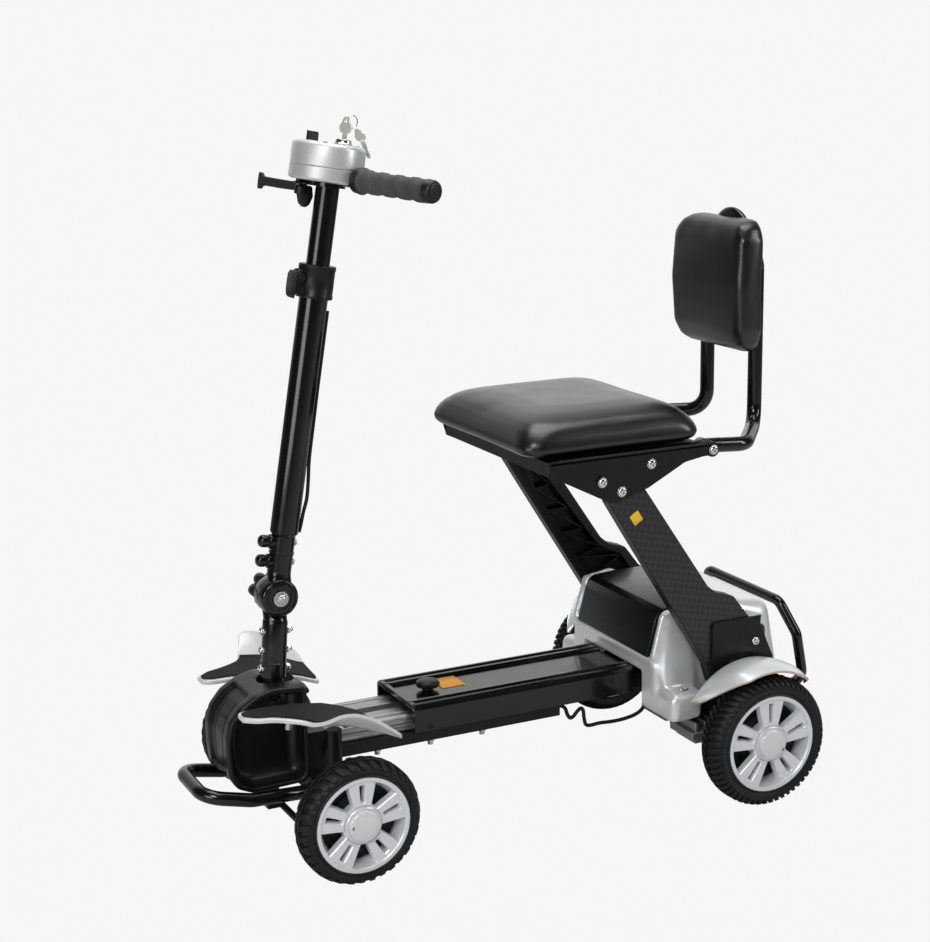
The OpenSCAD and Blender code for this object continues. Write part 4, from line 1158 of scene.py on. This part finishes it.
teeth = [(-3.4, -9), (3.4, -9), (3.6, -20), (2.6, -21.5), (3.6, -23), (2.2, -25), (3.4, -27),
    (2.4, -29.5), (3.2, -31), (0.4, -35), (-3.2, -33)]
spare = join(plate([(x * 0.8, y * 0.8) for x, y in lobes], [(-0.9, -0.5), (-0.5, 0), (0.5, 0),
    (0.9, -0.5)]), plate(teeth, [(-0.9, -0.3), (-0.6, 0), (0.6, 0), (0.9, -0.3)]))
hang = shift(KEY_X - 21, 3, 652) @ spin(34, "Y")
hang = hang @ spin(120, "Z") @ spin(90, "X")
piece("spare_key", spare, "key_metal", "ignition_key", (), ON_TILLER @ hang, 30)


def grip():
    """Moulded grip: inner collar, flange, a waist with raised slanting bands and an end cap."""
    rings, sides = [], 72
    stations = [(0, 18.4), (1.2, 19.2), (8, 19.4), (9, 20.6), (11.5, 20.8), (13, 19.6), (15, 18.2)]
    stations += [(15 + 2.2 * k, 17.8 - 0.9 * math.sin(math.pi * k / 50)) for k in range(1, 50)]
    stations += [(124, 18), (125, 17.6), (132, 17.4), (135, 16), (136.6, 13), (137, 8), (137, 0.5)]
    for z, r in stations:
        ring = []
        for turn in around(sides):
            size = r
            if 16 < z < 122:
                wave = math.sin(2 * math.pi * z / 27 - turn)
                size += 0.8 * max(-1, min(1, 3 * wave)) * min(1, (z - 16) / 4, (122 - z) / 4)
                size += 0.16 * math.sin(z * 2.6)
            ring.append((*polar(size, turn), z))
        rings.append(ring)
    return loft(rings)


for side, hand, _ in SIDES:
    at = along_bar(side) @ shift(0, 0, 54) @ Matrix.Diagonal((0.89, 0.89, 143 / 137, 1))
    handle = piece(f"hand_grip_{hand}", grip(), ["grip_rubber", "black_plastic"], "tiller_upper",
        [f"grip_{hand}"], at, 50)
    back_to_grip = at.inverted()
    tint(handle, lambda c, n: 0 if 13 < (back_to_grip @ c).z < 123.5 else 1)
    piece(f"grip_cap_{hand}", lathe([(0, 135.5), (3, 135.5), (3.6, 137.4), (2.6, 137.6), (2, 136.8),
        (0, 136.6)], 24), "panel_black", "tiller_upper", (), at)

blade = fillet([(6, -5), (60, -6), (110, -6), (118, -7.4), (122, -11.4), (129, -11.8), (130, 0),
    (129, 11.8), (122, 11.4), (118, 7.4), (110, 6.6), (60, 6.6), (6, 7)],
    [2, 0, 6, 6, 2, 2, 6, 2, 2, 6, 6, 0, 2], 5)
lever = standing(plate(blade, [(-2.8, -1), (-2, 0), (2, 0), (2.8, -1)]))
lever = moved(lever, shift(0, 0, 8) @ spin(-84, "Z"))
drop = standing(plate(fillet([(-9, 12), (7, 12), (10, 0), (6, -13), (-1, -19), (-8, -14), (-12, -2)],
    [4, 4, 8, 8, 6, 8, 8], 5), [(-13, -3), (-11, 0), (-3, 0), (-1, -3)]))
drop = moved(drop, shift(-5, 8, 0))
hub = lathe([(0, -1), (8, -1), (9, 0.4), (9, 9.6), (8.2, 10.6), (0, 10.6)], 40)
piece("throttle_blade", join(lever, drop, hub), "black_plastic", "throttle",
    ["throttle_lever"], ON_TILLER @ shift(32, -16, 563), 35)
piece("lever_bracket", join(plate(fillet([(16, -30), (40, -30), (45, -8), (38, 8), (16, 10)], 6, 5),
    [(576.5, 0), (579, 0)]), *[moved(rod(4, 578, 582.6), shift(x, y, 0))
    for x, y in ((22, -24), (40, -8), (24, 6))]), "black_plastic", "tiller_upper", (),
    ON_TILLER, 35)


# ------------------------------------------------------------------ deck

DECK_SIDE = [(67, 144), (67, 178), (63.5, 185), (58, 186), (54.5, 184.6), (53, 181.8), (51, 181.8),
    (49.5, 184.6), (46, 186), (41, 186), (38, 184), (36.5, 181.6)]
deck_line = fillet([(p, q) for p, q in DECK_SIDE], [0, 4, 3, 3, 2, 1, 1, 2, 3, 3, 2, 1], 3)
deck_inner = [(63.5, 144), (63.5, 177.6), (-63.5, 177.6), (-63.5, 144)]
deck_loop = deck_line + [(-y, z) for y, z in reversed(deck_line)] + [(y, z)
    for y, z in reversed(deck_inner)]
collar = [(y * 1.012, 165 + (z - 165) * 1.012) for y, z in fillet([(67, 145), (67, 180), (61, 185),
    (36, 185), (-36, 185), (-61, 185), (-67, 180), (-67, 145)], [1, 5, 4, 0, 0, 4, 5, 1], 4)]
collar += [(y, z) for y, z in reversed(deck_inner)]
end_collar = yz_bar(collar, 488.5, 495)
piece("deck_cover", join(yz_bar(deck_loop, 126, 493.5), end_collar), "gloss_black", "chassis",
    ["deck_box"], smooth=40, bevel=0.5)
label("deck_label", "orange_label", shift(402, -14, 181.6) @ spin(90, "Z"), 42, 38, "chassis", 0.5)

rail = fillet([(50, 144.2), (50, 147.5), (47.6, 149.5), (47.6, 154), (50, 156), (50, 161.5),
    (46, 165.4), (38, 165.4), (36.4, 162.6), (33.6, 162.6), (32, 165.4), (14, 165.4)],
    [0, 1, 1, 1, 1, 2, 2, 1, 1, 1, 1, 0], 2)
top_z = max(z for y, z in rail)
rail = [(y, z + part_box("slide_rail")[1].z * 1000 - top_z) if z > 158 else (y, z) for y, z in rail]
floor_z = rail[-1][1] - 9
channel = rail + [(10.5, rail[-1][1] - 0.6), (10.5, floor_z), (-10.5, floor_z),
    (-10.5, rail[-1][1] - 0.6)] + [(-y, z) for y, z in reversed(rail)]
piece("rail_bar", yz_bar(channel, 330, 624), "alloy", "front_module", ["slide_rail"],
    smooth=40, bevel=0.4)

for x, z in ((150, 150), (165, 168), (468, 150)):
    for _, hand, spot in SIDES:
        piece(f"deck_screw_{x}_{hand}", bolt(4.4, 2.1, 1.3), "black_plastic", "chassis", (),
            spot @ along_y(x, 66.9, z))

KNOB_X = (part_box("lock_knob")[0].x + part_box("lock_knob")[1].x) / 2 * 1000 - AXLE_X * 1000
piece("lock_handle", join(lathe([(0, 176), (5, 176), (5, 182), (8.6, 182.2), (8.8, 184), (8, 185),
    (12, 185.5), (15.4, 186.8), (17, 189.6), (17, 192.6), (15.8, 195), (12.5, 196.3), (6, 196.8),
    (0, 196.8)], 48), *[moved(rod(2.4, 187.8, 194, 12), shift(15.4 * math.cos(t), 15.4 * math.sin(t),
    0)) for t in (math.radians(30 * k) for k in range(12))]), "black_plastic", "lock_knob",
    ["lock_knob"], shift(KNOB_X, 0, 0))

for x in (545, 460, 375):
    for side, hand, _ in SIDES:
        piece(f"rail_bolt_{x}_{hand}", join(rod(3.9, 114, 139.4, 20), prism(hexagon(7), 119.5, 125.6),
            washer(4, 9, 125.2, 126)), "zinc", "front_module", (), shift(x, side * 44, 0))

# ------------------------------------------------------------------ chassis brackets and handle

for x, z, size in ((26, 194, 6.6), (-23, 233, 6.6)):
    for _, hand, spot in SIDES:
        piece(f"bracket_bolt_{abs(x)}_{hand}", bolt(size, 3.6, 2), "chrome", "chassis",
            ["chassis_bolts"], spot @ along_y(x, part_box("chassis_bolts")[1].y * 1000 - 4.2, z))
        if x > 0:
            piece(f"bracket_nut_{hand}", nut(7, 4), "zinc", "chassis", (),
                spot @ along_y(x, 147.5, z) @ spin(180, "X"))

handle_path = [(-100.5, 130, 136), (-145, 130, 137), (-130, 130, 215), (-118, 98, 262),
    (-118, -98, 262), (-130, -130, 215), (-145, -130, 137), (-100.5, -130, 136)]
piece("rear_handle_tube", join(tube(bent(handle_path, 18, 9), 8, 28, False),
    *[moved(lathe([(0, 0), (11, 0), (11.4, 0.8), (11, 3), (8.6, 4), (0, 4)], 32),
    shift(-101, s * 130, 136) @ spin(-90, "Y")) for s in (-1, 1)]), "gloss_black", "chassis",
    ["rear_handle"], smooth=50)

# ------------------------------------------------------------------ seat arms

ARM = [(50, 175), (58, 200), (59, 205), (200, 429), (231, 479), (222, 519), (198, 519), (182, 510),
    (60, 330), (46, 318), (14, 308), (-12, 274), (-44, 252), (-44, 216), (-18, 206), (18, 172)]
POCKET = [(180, 424), (192, 478), (181, 470), (66, 320), (50, 309), (22, 297), (-2, 262), (-2, 250),
    (30, 216), (50, 214)]
arm_edge = fillet(ARM, [4, 6, 3, 18, 12, 12, 8, 8, 12, 8, 16, 16, 8, 8, 12, 12], 4)
arm_pocket = fillet(POCKET, [20, 4, 5, 10, 8, 8, 6, 6, 6, 5], 4)
solid_arm = standing(plate(arm_edge, [(148, -0.9), (148.6, 0), (167.2, 0), (168, -0.9)]))
arm = cut(solid_arm, standing(plate(arm_pocket, [(147, 0), (164.5, 0)])))


def rib(a, b):
    """Upright web inside the arm between two points of its pocket."""
    (x0, z0), (x1, z1) = a, b
    d = Vector((x1 - x0, z1 - z0)).normalized() * 1.1  # half its thickness
    return xz_plate([(x0 - d.y, z0 + d.x), (x1 - d.y, z1 + d.x), (x1 + d.y, z1 - d.x),
        (x0 + d.y, z0 - d.x)], 151, 165)


zigzag = [(44, 217), (-1, 258), (75, 260), (22, 294), (103, 300), (57, 313), (130, 345), (90, 348),
    (156, 386), (118, 386), (180, 424), (150, 428), (188, 460), (176, 464)]
webs = [rib(a, b) for a, b in zip(zigzag, zigzag[1:])]
eye = moved(washer(5, 12, 148.2, 165, 36), along_y(26, 0, 188))
for _, hand, spot in SIDES:
    made = piece(f"arm_panel_{hand}", join(arm, *webs, eye), ["satin_black", "carbon"], "seat_arms",
        [f"seat_arm_{hand}"], spot, 40)
    tint(made, lambda c, n: 1 if abs(c.y) > 167.4 and abs(n.y) > 0.9 else 0)
    label(f"arm_label_{hand}", "yellow_label", spot @ along_y(184, 167.8, 450) @ spin(-57, "Z"), 17, 16,
        "seat_arms", 0.5)

# ------------------------------------------------------------------ seat frame and bolts

SEAT_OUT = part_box("seat_frame")[1].y * 1000
SIDE = [(326, 546), (322, 526), (236, 482), (216, 478), (166, 493), (104, 524), (72, 529), (62, 533),
    (56, 546)]
side_edge = fillet(SIDE, [1, 5, 8, 8, 16, 16, 6, 5, 1], 4)
slot_hole = fillet([(238, 514.5), (254.5, 528), (261.5, 519), (245.5, 505.5)], 5.4, 5)
side_sheet = standing(plate(side_edge, [(SEAT_OUT - 3, -0.5), (SEAT_OUT - 2.5, 0), (SEAT_OUT - 0.6, 0),
    (SEAT_OUT, -0.6)], [slot_hole]))
lip = [[(x, SEAT_OUT - a, 546 + h) for a, h in ((0, -3), (0, 0.9), (0.9, 2.4), (2.2, 3), (12, 3),
    (12, 0.6), (3, 0.6), (3, -3))] for x in (60, 326)]
front_fold = yz_bar([(-SEAT_OUT + 2, 546), (-SEAT_OUT + 2, 549), (SEAT_OUT - 2, 549),
    (SEAT_OUT - 2, 546), (SEAT_OUT - 5, 526), (-SEAT_OUT + 5, 526)], 323, 326)
corner = standing(plate(fillet([(312, 549), (328, 549), (328, 540), (323, 524), (312, 519)],
    [0, 2, 3, 3, 0], 3), [(SEAT_OUT - 3, 0), (SEAT_OUT - 0.2, 0)]))
slot_back = standing(plate(fillet([(230, 498), (272, 520), (264, 538), (224, 514)], 4, 4),
    [(SEAT_OUT - 5.4, 0), (SEAT_OUT - 3.1, 0)]))
half = join(side_sheet, loft(lip), corner, slot_back)
pan = block((76, -SEAT_OUT + 4, 546.2), (326, SEAT_OUT - 4, 549))
rear_bar = block((84, -SEAT_OUT + 3, 530), (104, SEAT_OUT - 3, 546.4))
eyes = [moved(washer(5.2, 11, 0, 12, 40), spot @ along_y(56, 158, 537)) for spot in (HERE, MIRROR)]
ear = both(block((56, 158, 529), (86, SEAT_OUT - 0.2, 545)))
piece("seat_pan", join(both(half), pan, rear_bar, front_fold, ear, *eyes), "satin_black", "seat",
    ["seat_frame"], smooth=40)

for k, (x, z, size, high) in enumerate(((210, 493, 6.6, 3.9), (242, 510, 6.6, 3.9),
        (161, 528, 6.6, 3.9), (56, 537, 6.4, 3.9))):
    for _, hand, spot in SIDES:
        piece(f"seat_bolt_{k}_{hand}", join(rod(size + 1, -0.4, 0.5, 40),
            moved(bolt(size, high - 0.5, 2), shift(0, 0, 0.5)), rod(4.6, -14, 0, 24)), "chrome", "seat",
            ["seat_bolts"], spot @ along_y(x, SEAT_OUT + 0.1, z))

# ------------------------------------------------------------------ backrest frame

POST_X, POST_Y = -87, 65.5
post_path = [(34, 142, 536), (-20, 142, 532), (POST_X, POST_Y, 542), (POST_X, POST_Y, 812),
    (POST_X, -POST_Y, 812), (POST_X, -POST_Y, 542), (-20, -142, 532), (34, -142, 536)]
lug_eye = [moved(lathe([(5.2, 132), (11, 132), (11.6, 133), (11.6, 156.6), (11, 157.4), (5.2, 157.4)],
    40, True), spot @ along_y(56, 0, 537)) for spot in (HERE, MIRROR)]
arm_end = [tube([(28, s * 142, 536), (50, s * 142, 537)], 10.9, 28, False) for s in (-1, 1)]
dome = moved(lathe([(0, -3), (46, -3), (49, -2), (50, 0.5), (50, 4), (48.6, 6.2), (44, 7), (0, 7)], 72),
    along_x(POST_X, 0, 817))
cross = fillet([(-80, 680), (80, 680), (80, 835), (-80, 835)], 12, 5)
backing = yz_bar(cross, POST_X + 7.5, POST_X + 10.8)
piece("backrest_tube", join(tube(bent(post_path, 34, 10), 11, 32, False), *lug_eye, *arm_end, dome,
    backing), "gloss_black", "backrest", ["back_frame"], smooth=50)

# ------------------------------------------------------------------ cables

LOOP = [(249, 44, 135), (240, 45, 134), (234, 46, 129), (231.5, 48, 120), (228, 50, 114.5),
    (222, 50, 116), (215, 50, 123), (209, 50, 126.5), (205, 50, 122), (203.5, 50, 110), (201, 51, 99.5),
    (194, 52, 97), (178, 54, 98.5), (158, 56, 98), (136, 58, 99.5), (116, 59, 104), (104, 59, 112),
    (98, 58, 126)]
CONDUIT = [(-23, 0, 408), (-23, 0, 360), (-23, 0, 300), (-23, 1, 250), (-23.5, 1, 200), (-26, 2, 165),
    (-27, 2, 142), (-24.5, 2, 122), (-23.5, 1, 104), (-22.5, 0, 93)]
for name, route, radius, body, node, at, stiff in (("motor_cable", LOOP, 2.9, "chassis", "loop_cable",
        HERE, "medium"), ("column_conduit", CONDUIT, 2.6, "tiller", "tiller_conduit", ON_TILLER,
        "stiff")):
    line = spline(route, 8)
    cable = piece(name, tube(line, radius, 20, False), "soft_rubber", body, [node], at)
    way = [TO_FRAME @ at @ p for p in line]
    tuple(way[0])
    sum((b - a).length for a, b in zip(way, way[1:]))
    [tuple(p) for p in way]

# ------------------------------------------------------------------ drive unit

motor_rings = [moved(lathe([(22, 0), (26.6, 0.6), (27, 1.4), (27, 2.8), (26.6, 3.6), (22, 4)], 48,
    True), along_x(-104 + 9 * k, 0, 98)) for k in range(6)]
motor_body = moved(lathe([(0, 0), (17, 0), (21, 1.4), (23.6, 4), (24, 8), (24, 68), (22, 70), (0, 70)],
    48), along_x(-112, 0, 98))
gearbox = melt(join(block((-44, -37, 71), (49, 37, 122)), moved(lathe([(0, -59.5), (19, -59.5),
    (24.6, -54), (24.6, 54), (19, 59.5), (0, 59.5)], 48), along_y(0, 0, REAR_R))), 2.4, 5)
plates = [both(block((x0, 118, z0), (x1, y1, z1))) for x0, z0, x1, y1, z1 in ((-30, 96, 92, 182, 108),
    (-30, 108, 92, 124, 125.5), (40, 86, 80, 170, 96))]
fins = [both(block((34 + 16 * k, 124, 107.5), (38 + 16 * k, 180, 122))) for k in range(4)]
sleeves = both(moved(lathe([(8.3, 58), (13, 58), (13, 110), (15, 112), (15, 120), (13, 122),
    (13, 195.6), (8.3, 195.6)], 40, True), along_y(0, 0, REAR_R)))
piece("drive_motor", join(*motor_rings, motor_body, gearbox, sleeves), "casting", "chassis",
    ["drive_unit"], smooth=40)
piece("motor_plates", join(*plates, *fins), "alloy", "chassis", ["drive_unit"], smooth=40,
    bevel=1.0)


# ------------------------------------------------------------------ stage, lights and camera


def stage():
    span = 14.0
    sheet = new_mesh("floor", ([(-span, -span, 0), (span, -span, 0), (span, span, 0), (-span, span, 0)],
        [(0, 1, 2, 3)]))
    floor = placed("floor", sheet)
    n = Nodes("floor")
    n.set(Base_Color=rgb(0.6), Roughness=0.9, Specular_IOR_Level=0.1)
    glow = n.add("Emission", {"Color": rgb(BACKDROP)})
    shown = n.add("MixShader", {"Fac": n.add("LightPath").outputs["Is Camera Ray"]})
    n.tree.links.new(n.shader.outputs["BSDF"], shown.inputs[1])
    n.tree.links.new(glow.outputs["Emission"], shown.inputs[2])
    n.tree.links.new(shown.outputs["Shader"], n.tree.nodes["Material Output"].inputs["Surface"])
    sheet.materials.append(n.mat)

    world = bpy.data.worlds.new("studio")
    bpy.context.scene.world = world
    world.use_nodes = True
    tree = world.node_tree
    new, link = tree.nodes.new, tree.links.new
    toward = new("ShaderNodeVectorMath")
    toward.operation = "DOT_PRODUCT"
    toward.inputs[1].default_value = (-0.437, -0.9, 0)
    link(new("ShaderNodeTexCoord").outputs["Generated"], toward.inputs[0])
    ramp = new("ShaderNodeMapRange")
    ramp.interpolation_type = "SMOOTHSTEP"
    for key, value in (("From Min", 0.35), ("From Max", 1.0), ("To Min", ROOM_NEAR),
            ("To Max", ROOM_FAR)):
        ramp.inputs[key].default_value = value
    link(toward.outputs["Value"], ramp.inputs["Value"])
    seen = new("ShaderNodeMix")
    seen.inputs["B"].default_value = BACKDROP
    link(new("ShaderNodeLightPath").outputs["Is Camera Ray"], seen.inputs["Factor"])
    link(ramp.outputs["Result"], seen.inputs["A"])
    link(seen.outputs["Result"], tree.nodes["Background"].inputs["Color"])

    for name, place, size, power in LIGHTS:
        data = bpy.data.lights.new(name, "AREA")
        data.shape, data.size, data.size_y, data.energy = "RECTANGLE", size[0], size[1], power
        lamp = placed(name, data)
        lamp.location = place
        lamp.rotation_euler = (Vector((0, 0, 0.35)) - Vector(place)).to_track_quat("-Z", "Y").to_euler()


BACKDROP = 0.925
ROOM_NEAR, ROOM_FAR = 0.06, 1.0
LIGHTS = (("key", (1.9, 2.3, 2.6), (1.1, 1.1), 46), ("top", (-0.3, -0.2, 3.3), (2.6, 2.0), 62),
    ("side", (-2.4, 1.9, 1.7), (0.5, 1.8), 26), ("fill", (2.6, 1.5, 0.9), (1.4, 0.9), 20),)


def camera():
    """Camera that sees the near side and the front from above the bars."""
    azimuth, elevation, roll = math.radians(154.1), math.radians(13.3), math.radians(-0.9)
    back = Vector((math.sin(azimuth) * math.cos(elevation), -math.cos(azimuth) * math.cos(elevation),
        math.sin(elevation)))
    right = (-back).cross(Vector((0, 0, 1))).normalized()
    up = right.cross(-back)
    right, up = (right * math.cos(roll) + up * math.sin(roll), up * math.cos(roll) - right *
        math.sin(roll))
    data = bpy.data.cameras.new("camera")
    data.lens, data.sensor_width, data.clip_end = 72.25, 36, 60
    cam = placed("camera", data)
    turn = Matrix((right, up, back)).transposed().to_4x4()
    eye = TO_FRAME @ Vector((1551.5, 2423.4, 1144.3))
    cam.matrix_world = Matrix.Translation(eye) @ turn
    bpy.context.scene.camera = cam


stage()
camera()
bpy.context.scene.view_settings.view_transform = "Standard"
